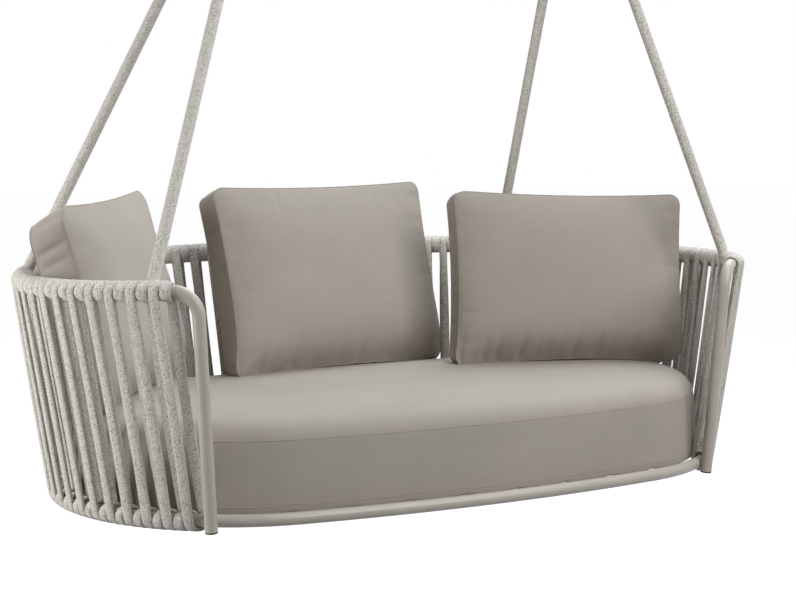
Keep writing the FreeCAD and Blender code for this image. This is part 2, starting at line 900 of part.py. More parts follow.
def hanging_rope(corner, at_x, side, eye_turn):
    """Eye terminal on the ring and the straight rope down to its lashing on the rail."""
    rail_point, rail_way, _, _ = station(lashings[corner])
    landing = rail_point + sofa_shift
    ring_spot = Vec(side * math.sin(eye_turn), 0, -math.cos(eye_turn))
    ring_way = Vec(math.cos(eye_turn), 0, side * math.sin(eye_turn))
    wire = Vec(at_x, 0, ring_centre_z) + ring_spot * size("ring_mean_radius")
    upward = (wire - landing).normalize()
    slack = size("eye_hole_diameter") / 2 - wire_radius - size("eye_play")
    hole_centre = wire - upward * slack

    name = corner + "_terminal"
    eye = bound(
        "Part::Cylinder",
        name + "_eye",
        Radius="sizes.tongue_width / 2",
        Height="sizes.tongue_thickness",
    )
    eye.Placement = FreeCAD.Placement(Vec(-size("tongue_thickness") / 2, 0, 0), TO_SIDE)
    tongue = middle_box(
        name + "_tongue",
        Vec(0, 0, -size("tongue_length") / 2),
        Length="sizes.tongue_thickness",
        Width="sizes.tongue_width",
        Height="sizes.tongue_length",
    )
    sleeve = bound(
        "Part::Cylinder",
        name + "_sleeve",
        Radius="sizes.sleeve_diameter / 2",
        Height="sizes.sleeve_length",
    )
    sleeve.Placement.Base = Vec(0, 0, -size("tongue_length") - size("sleeve_length"))
    hole = bound(
        "Part::Cylinder",
        name + "_hole",
        Radius="sizes.eye_hole_diameter / 2",
        Height="sizes.tongue_thickness * 3",
    )
    hole.Placement = FreeCAD.Placement(Vec(-size("tongue_thickness") * 1.5, 0, 0), TO_SIDE)
    terminal = drilled(name, joined(name + "_forging", [eye, tongue, sleeve]), [hole])
    keep(name, terminal, facing(upward, hole_centre, ring_way))

    rope_radius = size("hanging_rope_diameter") / 2
    rope = bound("Part::Cylinder", corner + "_rope", Radius="sizes.hanging_rope_diameter / 2")
    tilt = rope_radius * abs(upward.dot(rail_way))
    rope_start = landing + upward * (wrap_radius + tilt + size("weld_gap"))
    rope_end = hole_centre - upward * (size("tongue_length") + size("sleeve_length"))
    rope.Height = (rope_end - rope_start).Length
    keep(corner + "_rope", rope, facing(upward, rope_start))
    ends = [tuple(round(value, 1) for value in spot) for spot in (rope_start, rope_end)]
    print(corner, "rope", round(rope.Height.Value, 1), *ends)


for side, sign in (("left", -1), ("right", 1)):
    hanger_x = sign * size("hanger_half_spacing")
    hanger_plate(side, hanger_x)
    hanger_bolt(side, hanger_x)
    swing_lug(side, hanger_x)
    mean_turn = angle(side + "_eye_angle")
    spread_turn = angle("eye_half_spread")
    front_turn = mean_turn + sign * spread_turn
    rear_turn = mean_turn - sign * spread_turn
    hanging_rope(side + "_front", hanger_x, sign, front_turn)
    hanging_rope(side + "_rear", hanger_x, sign, rear_turn)

doc.recompute()

# Every piece must be sound before it is written

for item in doc.Objects:
    if "Invalid" in item.State or "Error" in item.State:
        raise RuntimeError(f"{item.Name} did not build: {item.State}")
os.makedirs("parts", exist_ok=True)
for label, item in nodes.items():
    shape = item.Shape
    if shape.isNull() or not shape.isValid() or not shape.Solids:
        raise RuntimeError(f"{label} is not a sound solid")
    shape.exportStep(f"parts/{label}.step")
tube_area = math.pi * tube_radius**2
for label, path in (("top_rail", rail_path), ("base_ring", ring_path)):
    expected = tube_area * path.Shape.Length
    print(label, "volume", round(nodes[label].Shape.Volume), "expected", round(expected))
print(len(nodes), "sub-parts written")
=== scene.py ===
# %% [markdown]
# # A swing sofa, dressed
# The part hangs from two ceiling plates: a bent tube frame, rope wound round its sides, four cushions
# and four hanging ropes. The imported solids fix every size. This script adds what a solid can't show:
# braided rope, sewn and stuffed cushions, paint, light and the camera of the photograph.

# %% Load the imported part
import math

import bpy
import numpy as np
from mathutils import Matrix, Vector


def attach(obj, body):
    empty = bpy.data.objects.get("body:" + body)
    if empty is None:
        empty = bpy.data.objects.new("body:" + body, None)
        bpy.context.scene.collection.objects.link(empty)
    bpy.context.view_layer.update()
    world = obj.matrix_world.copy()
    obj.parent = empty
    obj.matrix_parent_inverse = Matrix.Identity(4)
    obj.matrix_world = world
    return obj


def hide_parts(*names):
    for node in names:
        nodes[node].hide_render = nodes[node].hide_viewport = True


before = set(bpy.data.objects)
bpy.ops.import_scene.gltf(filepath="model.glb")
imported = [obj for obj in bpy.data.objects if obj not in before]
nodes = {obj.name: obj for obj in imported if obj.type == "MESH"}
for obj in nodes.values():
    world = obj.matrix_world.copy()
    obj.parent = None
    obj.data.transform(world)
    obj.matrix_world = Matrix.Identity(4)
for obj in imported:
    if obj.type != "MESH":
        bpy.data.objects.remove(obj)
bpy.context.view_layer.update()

# The sofa's own axes start in the plane of its base ring; this is that place in the part's axes.
SOFA = np.array((-0.109, -0.037, -1.849))

# %% [markdown]
# ## The camera
# The photograph looks a little down on the sofa from its front left. A camera can be set by eye, but
# here its place and lens come from matching the rail, the base ring and both posts, so the render can
# be laid over the photograph. The small vertical shift of the lens comes from the same match.

# %% Camera
EYE = (-2.2237, -3.8851, -0.9774)
LOOK_AT = (-0.1047, -0.0394, -1.4353)

lens = bpy.data.cameras.new("photo_lens")
lens.lens = 76.28
lens.sensor_width = 36.0
lens.shift_y = 0.0101
camera = bpy.data.objects.new("photo_camera", lens)
camera.location = EYE
camera.rotation_euler = (Vector(LOOK_AT) - Vector(EYE)).to_track_quat("-Z", "Y").to_euler()
bpy.context.collection.objects.link(camera)
bpy.context.scene.camera = camera
print("camera", round(math.dist(EYE, LOOK_AT), 2), "m from the middle of the picture")

# %% [markdown]
# ## Meshes from grids
# Rope, tube and cloth are all sheets of quads. A sheet can be typed in vertex by vertex, but a grid of
# points from a formula is shorter and has no gaps: one index pattern joins each point to its neighbours.


# %% Grid to mesh
def quads(rows, columns, row_loop=False, column_loop=False):
    """Corner numbers of the cells of a grid; a looped direction joins its last line to its first."""
    index = np.arange(rows * columns).reshape(rows, columns)
    if row_loop:
        index = np.vstack((index, index[:1]))
    if column_loop:
        index = np.hstack((index, index[:, :1]))
    cells = (index[:-1, :-1], index[1:, :-1], index[1:, 1:], index[:-1, 1:])
    return np.stack(cells, -1).reshape(-1, 4)


def cell_uv(low, high, near, far):
    """Pairs at the four corners of each cell, in the order of the cell: low or high, near or far."""
    corners = ((low, near), (high, near), (high, far), (low, far))
    return np.stack([np.stack(np.broadcast_arrays(*corner), -1) for corner in corners], -2)


def make_piece(name, points, faces, uv=None):
    """Smooth mesh object at the origin; uv holds one pair for each face corner, in metres."""
    mesh = bpy.data.meshes.new(name)
    mesh.from_pydata(np.asarray(points).reshape(-1, 3), [], np.asarray(faces).tolist())
    if uv is not None:
        layer = mesh.uv_layers.new(name="cloth")
        layer.data.foreach_set("uv", np.asarray(uv, dtype=np.float32).ravel())
    mesh.polygons.foreach_set("use_smooth", np.ones(len(mesh.polygons), dtype=bool))
    mesh.update()
    piece = bpy.data.objects.new(name, mesh)
    bpy.context.collection.objects.link(piece)
    return piece


print("a grid of 3 by 4 points has", len(quads(3, 4)), "cells")

# %% [markdown]
# ## The hanging ropes
# Four ropes, each a little over a metre long, hold the sofa. They are taut, so their line is straight.
# The route is a spline through given points, and the tube takes its points from that spline, so the
# rope can't drift from its route.

# %% Rope routes
HANGING_DIAMETER = 0.028
ROUTES = {
    "left_front": (
        (-0.9170, -0.4007, -1.3047),
        (-0.8562, -0.3465, -1.1555),
        (-0.5808, -0.1008, -0.4797),
        (-0.5200, -0.0466, -0.3305),
    ),
    "left_rear": (
        (-1.0236, 0.1703, -1.3096),
        (-0.9507, 0.1471, -1.1578),
        (-0.6232, 0.0431, -0.4756),
        (-0.5503, 0.0199, -0.3238),
    ),
    "right_rear": (
        (0.4963, 0.4192, -1.2950),
        (0.4906, 0.3583, -1.1364),
        (0.4675, 0.1132, -0.4977),
        (0.4618, 0.0523, -0.3391),
    ),
    "right_front": (
        (0.8189, -0.2306, -1.3094),
        (0.7700, -0.1975, -1.1500),
        (0.5692, -0.0615, -0.4954),
        (0.5203, -0.0284, -0.3360),
    ),
}


def spline_points(name, route):
    """Points along a smooth spline that has the route as its control points."""
    line = bpy.data.curves.new(name + "_line", "CURVE")
    line.dimensions = "3D"
    line.resolution_u = 40
    spline = line.splines.new("NURBS")
    spline.points.add(len(route) - 1)
    for spot, place in zip(spline.points, route):
        spot.co = (*place, 1.0)
    spline.order_u = 3
    spline.use_endpoint_u = True
    holder = bpy.data.objects.new(name + "_line", line)
    mesh = bpy.data.meshes.new_from_object(holder)
    points = np.empty(len(mesh.vertices) * 3)
    mesh.vertices.foreach_get("co", points)
    bpy.data.objects.remove(holder)
    bpy.data.curves.remove(line)
    bpy.data.meshes.remove(mesh)
    return points.reshape(-1, 3)


# %% Round tubes along a path
def unit(vectors):
    """Vectors of length one."""
    return vectors / np.linalg.norm(vectors, axis=-1, keepdims=True)


def travel_of(path):
    """Direction of travel at each point of an open path."""
    return unit(np.gradient(path, axis=0))


def along_path(path):
    """Distance from the start at each point: the sum of the steps up to it."""
    steps = np.linalg.norm(np.diff(path, axis=0), axis=1)
    return np.concatenate(((0.0,), np.cumsum(steps)))


def circles(path, side, over, radius, sides):
    """Circles round the points of a path: path + radius (cos a side + sin a over), a all the way round."""
    turn = np.arange(sides) * (2 * math.pi / sides)
    ring = np.cos(turn)[None, :, None] * side[:, None] + np.sin(turn)[None, :, None] * over[:, None]
    return path[:, None] + radius * ring


def round_tube(path, radius, sides, lean=(0.0, 1.0, 0.3)):
    """Circle carried along an open path, with side and over square to the path.

    Side starts from one fixed direction, so the tube never twists."""
    way = travel_of(path)
    side = unit(np.cross(way, np.asarray(lean)))
    return circles(path, side, np.cross(side, way), radius, sides)


def tube_uv(path, radius, sides):
    """Lengthwise and round-about metres for each corner of a tube's cells."""
    reach = along_path(path)
    girth = np.arange(sides + 1) * (2 * math.pi * radius / sides)
    return cell_uv(reach[:-1, None], reach[1:, None], girth[None, :-1], girth[None, 1:])


# %% Hanging ropes
ROPE_SIDES = 24
# The lower end runs on by this much, into the loop round the rail.
TUCKED = 0.010
rope_pieces = []
for corner, route in ROUTES.items():
    path = spline_points(corner, route)
    whole = np.vstack((path[:1] - TUCKED * travel_of(path)[:1], path))
    tube = round_tube(whole, HANGING_DIAMETER / 2, ROPE_SIDES)
    cells = quads(len(whole), ROPE_SIDES, column_loop=True)
    uv = tube_uv(whole, HANGING_DIAMETER / 2, ROPE_SIDES)
    rope = make_piece(corner + "_hanging_rope", tube, cells, uv)
    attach(rope, "sofa")
    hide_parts(corner + "_rope")
    rope_pieces.append(rope)
    print(corner, "rope", round(float(along_path(path)[-1]), 3), "m")

# %% [markdown]
# ## The two wound tubes
# The rope sides are wound between the top rail and the base ring. Both tubes follow a half oval seen
# from above: a front arc, a rear quarter, a straight back, and the same mirrored. The rail also rises
# a little in the middle of the back. The same few radii that shaped the solids give every place here.

# %% Half ovals
WRAP_UNITS = 64
SOLID_ROPE = 0.020


class HalfOval:
    """Plan line of a tube, from the left front corner round the back to the right front corner.

    A point at a distance is centre + radius (cos, sin) of the turn, and the turn falls evenly with
    the distance on each arc; the back is straight."""

    def __init__(self, half, rear, front, front_angle):
        quarter = math.pi / 2
        self.centres = np.array((front - half, rear - half, 0.0, half - rear, half - front))
        self.radii = np.array((front, rear, rear, rear, front))
        self.turns = np.array((math.pi + front_angle, math.pi, quarter, quarter, 0.0))
        sweeps = np.array((front_angle, quarter, 0.0, quarter, front_angle))
        lengths = self.radii * sweeps
        lengths[2] = 2 * (half - rear)
        self.starts = np.concatenate(((0.0,), np.cumsum(lengths)))
        self.length = self.starts[-1]
        self.pitch = (self.length - SOLID_ROPE) / (WRAP_UNITS + 0.5)
        self.first = SOLID_ROPE / 2 + self.pitch / 4

    def at(self, distance):
        """Points and directions of travel at an array of distances."""
        distance = np.asarray(distance, dtype=float)
        part = np.clip(np.searchsorted(self.starts, distance, side="right") - 1, 0, 4)
        past = distance - self.starts[part]
        straight = (part == 2)[..., None]
        turn = self.turns[part] - np.where(part == 2, 0.0, past / self.radii[part])
        centre = np.where(part == 2, past - self.starts[3] / 2 + self.starts[2] / 2, self.centres[part])
        spoke = self.radii[part][..., None] * np.stack((np.cos(turn), np.sin(turn)), -1)
        point = np.stack((centre, np.zeros_like(centre)), -1) + spoke
        way = np.stack((np.sin(turn), -np.cos(turn)), -1)
        way = np.where(straight, (1.0, 0.0), way)
        level = np.zeros(distance.shape + (1,))
        return np.concatenate((point, level), -1), np.concatenate((way, level), -1)

    def at_unit(self, units):
        """Points and directions at woven unit numbers, whole or half."""
        return self.at(self.first + self.pitch * np.asarray(units, dtype=float))


# %% Rail and ring
RAIL_HALF, RAIL_REAR, RAIL_FRONT, RAIL_SWEEP = 0.975, 0.478, 0.518, math.radians(51.4)
RING_HALF, RING_REAR, RING_FRONT, RING_SWEEP = 0.899, 0.400, 0.466, math.radians(57.4)
FOOT_MARGIN = 0.0165
RAIL_HEIGHT = 0.513
RAIL_CROWN = 0.028
rail = HalfOval(RAIL_HALF, RAIL_REAR, RAIL_FRONT, RAIL_SWEEP)
ring = HalfOval(RING_HALF, RING_REAR, RING_FRONT, RING_SWEEP - FOOT_MARGIN / RING_FRONT)


def lifted(point, way):
    """Rail points raised to their height, which falls from the middle with the square of the side."""
    share = point[..., 0] / RAIL_HALF
    point = point.copy()
    point[..., 2] = RAIL_HEIGHT + RAIL_CROWN * (1 - share**2)
    slope = -2 * RAIL_CROWN * share / RAIL_HALF * way[..., 0]
    return point, unit(np.concatenate((way[..., :2], slope[..., None]), -1))


print("rail pitch", round(rail.pitch * 1000, 2), "mm, ring pitch", round(ring.pitch * 1000, 2), "mm")

# %% [markdown]
# ## The wound rope
# One flat braided rope runs up outside, over the rail, down inside and under the ring, again and again.
# A texture on a wall would look flat from the side, so every strand is a real rope: a flat oval carried
# round a closed loop. All the loops of a piece are worked out in one array.

# %% Rope sections
ROPE_OFFSET = 0.0203
ROPE_THICK = 0.0094
ROPE_GIRTH = 0.054
BRAID_STEP = 0.37
SECTION_SIDES = 12
SQUARED = 0.8
rng = np.random.default_rng(7)


def flat_oval():
    """Cosine and sine all the way round, both raised to a power below 1, which squares the oval a little."""
    turn = np.arange(SECTION_SIDES) * (2 * math.pi / SECTION_SIDES)
    wide, high = np.cos(turn), np.sin(turn)
    return np.sign(wide) * np.abs(wide) ** SQUARED, np.sign(high) * np.abs(high) ** SQUARED


def rope_uv(centre):
    """Lengthwise and round-about metres of each cell; every loop starts one braid step further on."""
    loops = len(centre)
    steps = np.linalg.norm(np.diff(centre, axis=1, append=centre[:, :1]), axis=-1)
    reach = np.concatenate((np.zeros((loops, 1)), np.cumsum(steps, axis=1)), 1)
    reach = reach + np.arange(loops)[:, None] * BRAID_STEP
    girth = np.arange(SECTION_SIDES + 1) * (ROPE_GIRTH / SECTION_SIDES)
    return cell_uv(reach[:, :-1, None], reach[:, 1:, None], girth[None, None, :-1], girth[None, None, 1:])


def rope_mesh(name, centre, across, width, thick):
    """Flat oval carried round many loops: centre + width / 2 wide across + thick / 2 high over.

    Wide and high come from the flat oval; over is square to the line and to across. Centre has the
    axes loop, point and xyz."""
    way = unit(np.roll(centre, -1, axis=1) - np.roll(centre, 1, axis=1))
    across = unit(across - way * np.sum(across * way, -1, keepdims=True))
    over = np.cross(across, way)
    wide, high = flat_oval()
    loops, count = centre.shape[:2]
    half_wide = np.broadcast_to(np.asarray(width) / 2, (loops, count))[..., None, None]
    half_high = np.broadcast_to(np.asarray(thick) / 2, (loops, count))[..., None, None]
    points = centre[:, :, None] + across[:, :, None] * wide[:, None] * half_wide
    points = points + over[:, :, None] * high[:, None] * half_high
    cells = quads(count, SECTION_SIDES, row_loop=True, column_loop=True)
    faces = cells[None] + (np.arange(loops) * count * SECTION_SIDES)[:, None, None]
    return make_piece(name, points + SOFA, faces.reshape(-1, 4), rope_uv(centre))


# %% Strands
STRAND_WIDTH = 0.0262
STRAIGHT_STEPS = 9
ARC_STEPS = 12
# Half way up, where no tube presses on it, a strand is wider and thicker, wanders, and its two sides
# lie closer to the middle.
PRESSED_WIDTH_SHARE = 0.94
FULLER_SHARE = 0.3
CLOSER_SHARE = 0.28
UNEVEN_SHARE = 0.02
WANDER = 0.0006


def belt_loop(height):
    """Outward and upward distances of a strand pair: two straights joined by half circles."""
    rise = np.linspace(0.0, 1.0, STRAIGHT_STEPS, endpoint=False)
    turn = np.linspace(0.0, math.pi, ARC_STEPS, endpoint=False)
    flat = np.ones(STRAIGHT_STEPS)
    out = np.concatenate((flat, np.cos(turn), -flat, -np.cos(turn))) * ROPE_OFFSET
    zero = np.zeros(ARC_STEPS)
    share = np.concatenate((rise, zero + 1, 1 - rise, zero))
    beyond = np.concatenate((flat * 0, np.sin(turn), flat * 0, -np.sin(turn))) * ROPE_OFFSET
    return out, share[None] * height[:, None] + beyond[None], share


def strands(name, units):
    """Strand pairs at whole units: foot + rise upward + out outward + lag along the tubes.

    Along and outward are blended from the ring below to the rail above; the lag, a quarter of the
    pitch, is forward outside and backward inside."""
    top, top_way = lifted(*rail.at_unit(units))
    foot, foot_way = ring.at_unit(units)
    height = np.linalg.norm(top - foot, axis=-1)
    upward = unit(top - foot)
    out, rise, share = belt_loop(height)
    blend = share[None, :, None]
    way = unit(foot_way[:, None] * (1 - blend) + top_way[:, None] * blend)
    outward = unit(np.cross(upward[:, None], way))
    pitch = ring.pitch * (1 - share) + rail.pitch * share
    lag = pitch / (4 * ROPE_OFFSET) * out
    wander = rng.normal(0.0, WANDER, (len(units), 1))
    slack = np.sin(math.pi * np.clip(rise / height[:, None], 0, 1))
    centre = foot[:, None] + upward[:, None] * rise[..., None] + outward * out[None, :, None]
    centre = centre + way * (lag[None] * (1 - CLOSER_SHARE * slack) + wander * slack)[..., None]
    uneven = 1 + rng.normal(0.0, UNEVEN_SHARE, (len(units), 1))
    width = STRAND_WIDTH * (PRESSED_WIDTH_SHARE + (1 - PRESSED_WIDTH_SHARE) * slack) * uneven
    return rope_mesh(name, centre, way, width, ROPE_THICK * (1 + FULLER_SHARE * slack))


SECTIONS = {"left": range(0, 22), "back": range(22, 43), "right": range(43, 65)}
woven = []
for part, units in SECTIONS.items():
    piece = strands(part + "_side_strands", np.array(units))
    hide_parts(part + "_strands")
    woven.append(piece)
print("strand pairs", sum(len(units) for units in SECTIONS.values()))

# %% [markdown]
# ## Turns between the strands
# Between two strands the rope takes a plain turn round the rail, and another round the ring, and each
# hanging rope ends in a thicker turn of its own. A ring shape copied along the tube would stand square to
# it. The real turns slant, so each is a circle whose inner side lies half a step behind its outer side.

# %% Turns
RAIL_TURN_WIDTH = 0.0304
RING_TURN_WIDTH = 0.0236
TURN_STEPS = 18


def tube_axes(units, tube):
    """Middle points of a tube at units, with its directions along, outward and upward."""
    top, top_way = lifted(*rail.at_unit(units))
    foot, foot_way = ring.at_unit(units)
    middle, way = (top, top_way) if tube is rail else (foot, foot_way)
    outward = unit(np.cross(top - foot, way))
    return middle, way, outward, np.cross(way, outward)


def turns(name, units, tube, width, thick=ROPE_THICK):
    """Plain turns at half units: middle + offset (cos a outward + sin a upward) + lag along.

    The lag is a quarter of the pitch times cos a."""
    middle, way, outward, upward = tube_axes(units, tube)
    turn = np.arange(TURN_STEPS) * (2 * math.pi / TURN_STEPS)
    out = np.cos(turn)[None, :, None] * ROPE_OFFSET
    high = np.sin(turn)[None, :, None] * ROPE_OFFSET
    lag = tube.pitch / (4 * ROPE_OFFSET) * out
    centre = middle[:, None] + outward[:, None] * out + upward[:, None] * high + way[:, None] * lag
    return rope_mesh(name, centre, np.broadcast_to(way[:, None], centre.shape), width, thick)


# %% Turns at the rail's ends
END_TURN_WIDTH = 0.0258
END_THIN_SHARE = 0.56


def end_turn(name, number, full_side):
    """Last turn of the rail, full on one side and thin on the other, where a strand passes over it.

    The thickness goes with the cosine of the turn, and the circle shrinks so that it stays on the tube."""
    middle, way, outward, upward = tube_axes(np.array((number,)), rail)
    turn = np.arange(TURN_STEPS) * (2 * math.pi / TURN_STEPS)
    half_loss = (1 - END_THIN_SHARE) / 2
    thick = ROPE_THICK * (1 - half_loss + half_loss * full_side * np.cos(turn))
    reach = (ROPE_OFFSET - (ROPE_THICK - thick) / 2)[None, :, None]
    circle = np.cos(turn)[:, None] * outward[:, None] + np.sin(turn)[:, None] * upward[:, None]
    centre = middle[:, None] + reach * circle
    across = np.broadcast_to(way[:, None], centre.shape)
    return rope_mesh(name, centre, across, END_TURN_WIDTH, thick[None])


# %% Winding the turns
LOOP_THICK = 0.0104
LASHED = {"left_front": 0.5, "left_rear": 12.5, "right_rear": 43.5, "right_front": 59.5}
# The eight cross tubes of the deck meet the ring at these half units, which stay bare.
CROSS_TUBES = 32 + 3 * (np.arange(8) - 3.5)
for part, units in SECTIONS.items():
    halves = np.array([number + 0.5 for number in units if number < WRAP_UNITS])
    on_rail = halves[~np.isin(halves, list(LASHED.values()))]
    on_ring = halves[~np.isin(halves, CROSS_TUBES)]
    piece = turns(part + "_rail_turns", on_rail, rail, RAIL_TURN_WIDTH)
    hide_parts(part + "_rail_wraps")
    woven.append(piece)
    piece = turns(part + "_ring_turns", on_ring, ring, RING_TURN_WIDTH)
    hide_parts(part + "_base_wraps")
    woven.append(piece)
    print(part, "turns on the rail", len(on_rail), "and on the ring", len(on_ring))
for corner, number in LASHED.items():
    piece = turns(corner + "_rope_turn", np.array((number,)), rail, HANGING_DIAMETER, LOOP_THICK)
    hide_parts(corner + "_lashing")
    woven.append(piece)
woven.append(end_turn("left_end_turn", -0.25, 1.0))
woven.append(end_turn("right_end_turn", WRAP_UNITS + 0.25, -1.0))
for piece in woven:
    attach(piece, "sofa")


# %% [markdown]
# ## Finishes
# Each finish is a node material with its own fine detail. Image textures would need files, so the patterns
# are worked out from lengths along the cloth or from the object's own axes. Wiring nodes takes many lines
# of code, so a small helper adds a node, fills its inputs by name and hands back its output.


# %% Node helper
class Finish:
    """A node material or world being wired up; sockets link, plain numbers are set on the socket."""

    def __init__(self, name, world=None, surface="Principled BSDF"):
        self.material = world or bpy.data.materials.new(name)
        self.material.use_nodes = True
        self.nodes = self.material.node_tree.nodes
        self.surface = self.nodes[surface]

    def put(self, socket, value):
        """Link a socket, or set a constant."""
        if isinstance(value, bpy.types.NodeSocket):
            self.material.node_tree.links.new(value, socket)
        else:
            socket.default_value = value

    def add(self, kind, output, settings=None, **inputs):
        """New node of a kind with inputs by name; gives back one of its outputs."""
        node = self.nodes.new(kind)
        for name, value in (settings or {}).items():
            setattr(node, name, value)
        for name, value in inputs.items():
            self.put(node.inputs[name.replace("_", " ")], value)
        return node.outputs[output]

    def sum(self, operation, first, second=0.0, third=0.0):
        """One arithmetic node."""
        node = self.nodes.new("ShaderNodeMath")
        node.operation = operation
        for socket, value in zip(node.inputs, (first, second, third)):
            self.put(socket, value)
        return node.outputs[0]

    def ramp(self, share, stops):
        """Colours blended between stops along a share from 0 to 1."""
        node = self.nodes.new("ShaderNodeValToRGB")
        bar = node.color_ramp.elements
        while len(bar) < len(stops):
            bar.new(0.5)
        for stop, (place, colour) in zip(bar, stops):
            stop.position = place
            stop.color = (*colour, 1.0)
        self.put(node.inputs["Fac"], share)
        return node.outputs["Color"]

    def bump(self, height, distance, strength=1.0):
        """Surface relief from a height in shares of a distance in metres."""
        relief = self.add(
            "ShaderNodeBump", "Normal", Height=height, Distance=distance, Strength=strength
        )
        self.put(self.surface.inputs["Normal"], relief)

    def set(self, **inputs):
        """Inputs of the surface itself."""
        for name, value in inputs.items():
            self.put(self.surface.inputs[name.replace("_", " ")], value)
        return self.material


# %% [markdown]
# ## Braided rope
# The rope is braided from pale and darker yarns, so it looks flecked. A noise pattern would give soft
# clouds. Here the rope is split into columns of small stitches by its own lengths along and round about,
# and a random number for each stitch picks its yarn. The same stitches give the relief, and painted
# shade darkens the colour in the valleys between them.

# %% Rope finish
STITCH = 0.0023
COLUMN = 0.0015
STITCH_RELIEF = 0.0012


def braid(name, light, dark):
    """Rope of mixed yarns: columns of small stitches, each column starting at a place of its own.

    A random number picks each stitch's tone; half sine waves along and across a stitch round it off,
    and they scale its colour down towards the valleys between stitches as painted shade."""
    rope = Finish(name)
    place = rope.add("ShaderNodeUVMap", "UV", {"uv_map": "cloth"})
    split = rope.add("ShaderNodeSeparateXYZ", "X", Vector=place).node.outputs
    column = rope.sum("DIVIDE", split["Y"], COLUMN)
    number = rope.sum("FLOOR", column)
    across = rope.sum("FRACT", column)
    start = rope.add("ShaderNodeTexWhiteNoise", "Value", {"noise_dimensions": "1D"}, W=number)
    shift = rope.sum("MULTIPLY_ADD", start, 5.0, rope.sum("DIVIDE", split["X"], STITCH))
    slant = rope.sum("MULTIPLY_ADD", across, 0.5, shift)
    along = rope.sum("FRACT", slant)
    cell = rope.add("ShaderNodeCombineXYZ", "Vector", X=rope.sum("FLOOR", slant), Y=number)
    yarn = rope.add("ShaderNodeTexWhiteNoise", "Value", {"noise_dimensions": "2D"}, Vector=cell)
    middle = tuple((a + b) / 2 for a, b in zip(light, dark))
    tone = rope.ramp(yarn, [(0.0, dark), (0.2, middle), (0.48, light), (1.0, light)])
    ridge = rope.sum("SINE", rope.sum("MULTIPLY", along, math.pi))
    valley = rope.sum("SINE", rope.sum("MULTIPLY", across, math.pi))
    height = rope.sum("MULTIPLY", rope.sum("POWER", ridge, 0.6), rope.sum("POWER", valley, 0.5))
    # Painted shade: the colour falls to 0.8 in the valleys between stitches and is a little lighter on their
    # crests.
    valley_shade = rope.sum("MULTIPLY_ADD", height, 0.25, 0.80)
    colour = rope.add(
        "ShaderNodeVectorMath", "Vector", {"operation": "SCALE"}, Vector=tone, Scale=valley_shade
    )
    rope.bump(height, STITCH_RELIEF, 0.7)
    return rope.set(Base_Color=colour, Roughness=0.9, Specular_IOR_Level=0.15, Sheen_Weight=0.1)


rope_finish = braid("heather_rope", (0.96, 0.92, 0.85), (0.48, 0.44, 0.38))
for piece in woven + rope_pieces:
    piece.data.materials.append(rope_finish)
print("pieces of rope", len(woven + rope_pieces))

# %% [markdown]
# ## Paint, plastic and steel
# The frame is powder painted, its caps and the bushes are moulded plastic, and the hangers are bare steel.
# One flat colour would look like a drawing. Paint and plastic get faint clouding and a fine pebbled skin,
# and the steel gets fine scratches along one axis, all from noise on the object's own axes.


# %% Frame and hanger finishes
def satin_paint(name, colour, rough):
    """Powder paint: an even colour with faint clouding and a fine pebbled skin."""
    paint = Finish(name)
    spot = paint.add("ShaderNodeTexCoord", "Object")
    cloudy = paint.add("ShaderNodeTexNoise", "Fac", Vector=spot, Scale=9.0, Detail=3.0)
    pale = tuple(1.06 * part for part in colour)
    deep = tuple(0.94 * part for part in colour)
    tone = paint.ramp(cloudy, [(0.3, deep), (0.7, pale)])
    pebble = paint.add("ShaderNodeTexNoise", "Fac", Vector=spot, Scale=900.0, Detail=2.0)
    worn = paint.sum("MULTIPLY_ADD", cloudy, 0.12, rough - 0.06)
    paint.bump(pebble, 0.0002, 0.35)
    return paint.set(Base_Color=tone, Roughness=worn, Specular_IOR_Level=0.45)


def brushed_steel(name):
    """Brushed steel: fine scratches along one axis that vary the tone and the roughness."""
    steel = Finish(name)
    spot = steel.add("ShaderNodeTexCoord", "Object")
    drawn = steel.add("ShaderNodeMapping", "Vector", Vector=spot, Scale=(30.0, 900.0, 900.0))
    scratch = steel.add("ShaderNodeTexNoise", "Fac", Vector=drawn, Scale=1.0, Detail=3.0)
    tone = steel.ramp(scratch, [(0.25, (0.27, 0.27, 0.265)), (0.75, (0.38, 0.38, 0.37))])
    rough = steel.sum("MULTIPLY_ADD", scratch, 0.15, 0.6)
    steel.bump(scratch, 0.0001, 0.3)
    return steel.set(Base_Color=tone, Metallic=1.0, Roughness=rough)


frame_paint = satin_paint("taupe_paint", (0.53, 0.485, 0.43), 0.32)
cap_plastic = satin_paint("cap_plastic", (0.05, 0.047, 0.043), 0.55)
bush_plastic = satin_paint("bush_plastic", (0.72, 0.70, 0.66), 0.5)
hanger_steel = brushed_steel("hanger_steel")


# %% Finishes on the solids
def finish_of(name):
    """Finish of a rigid node, by what it is."""
    if name in ("top_rail", "base_ring") or name.startswith("deck"):
        return frame_paint
    if name.endswith("_cap"):
        return cap_plastic
    if name.endswith("_bush"):
        return bush_plastic
    return hanger_steel


SOFT_ENDINGS = ("_rope", "_strands", "_wraps", "_lashing", "_cushion")
rigid = {name: item for name, item in nodes.items() if not name.endswith(SOFT_ENDINGS)}
for name, item in rigid.items():
    item.data.materials.clear()
    item.data.materials.append(finish_of(name))
print("rigid nodes with a finish", len(rigid))

# %% [markdown]
# ## The cushions
# Each cushion is a face panel, a back panel and a boxing strip sewn between them. A block with rounded
# edges would look like foam board. Here the panels are real grids that meet at seams, a cloth simulation
# blows them up from inside as the filling does, and the seams get their piping afterwards.


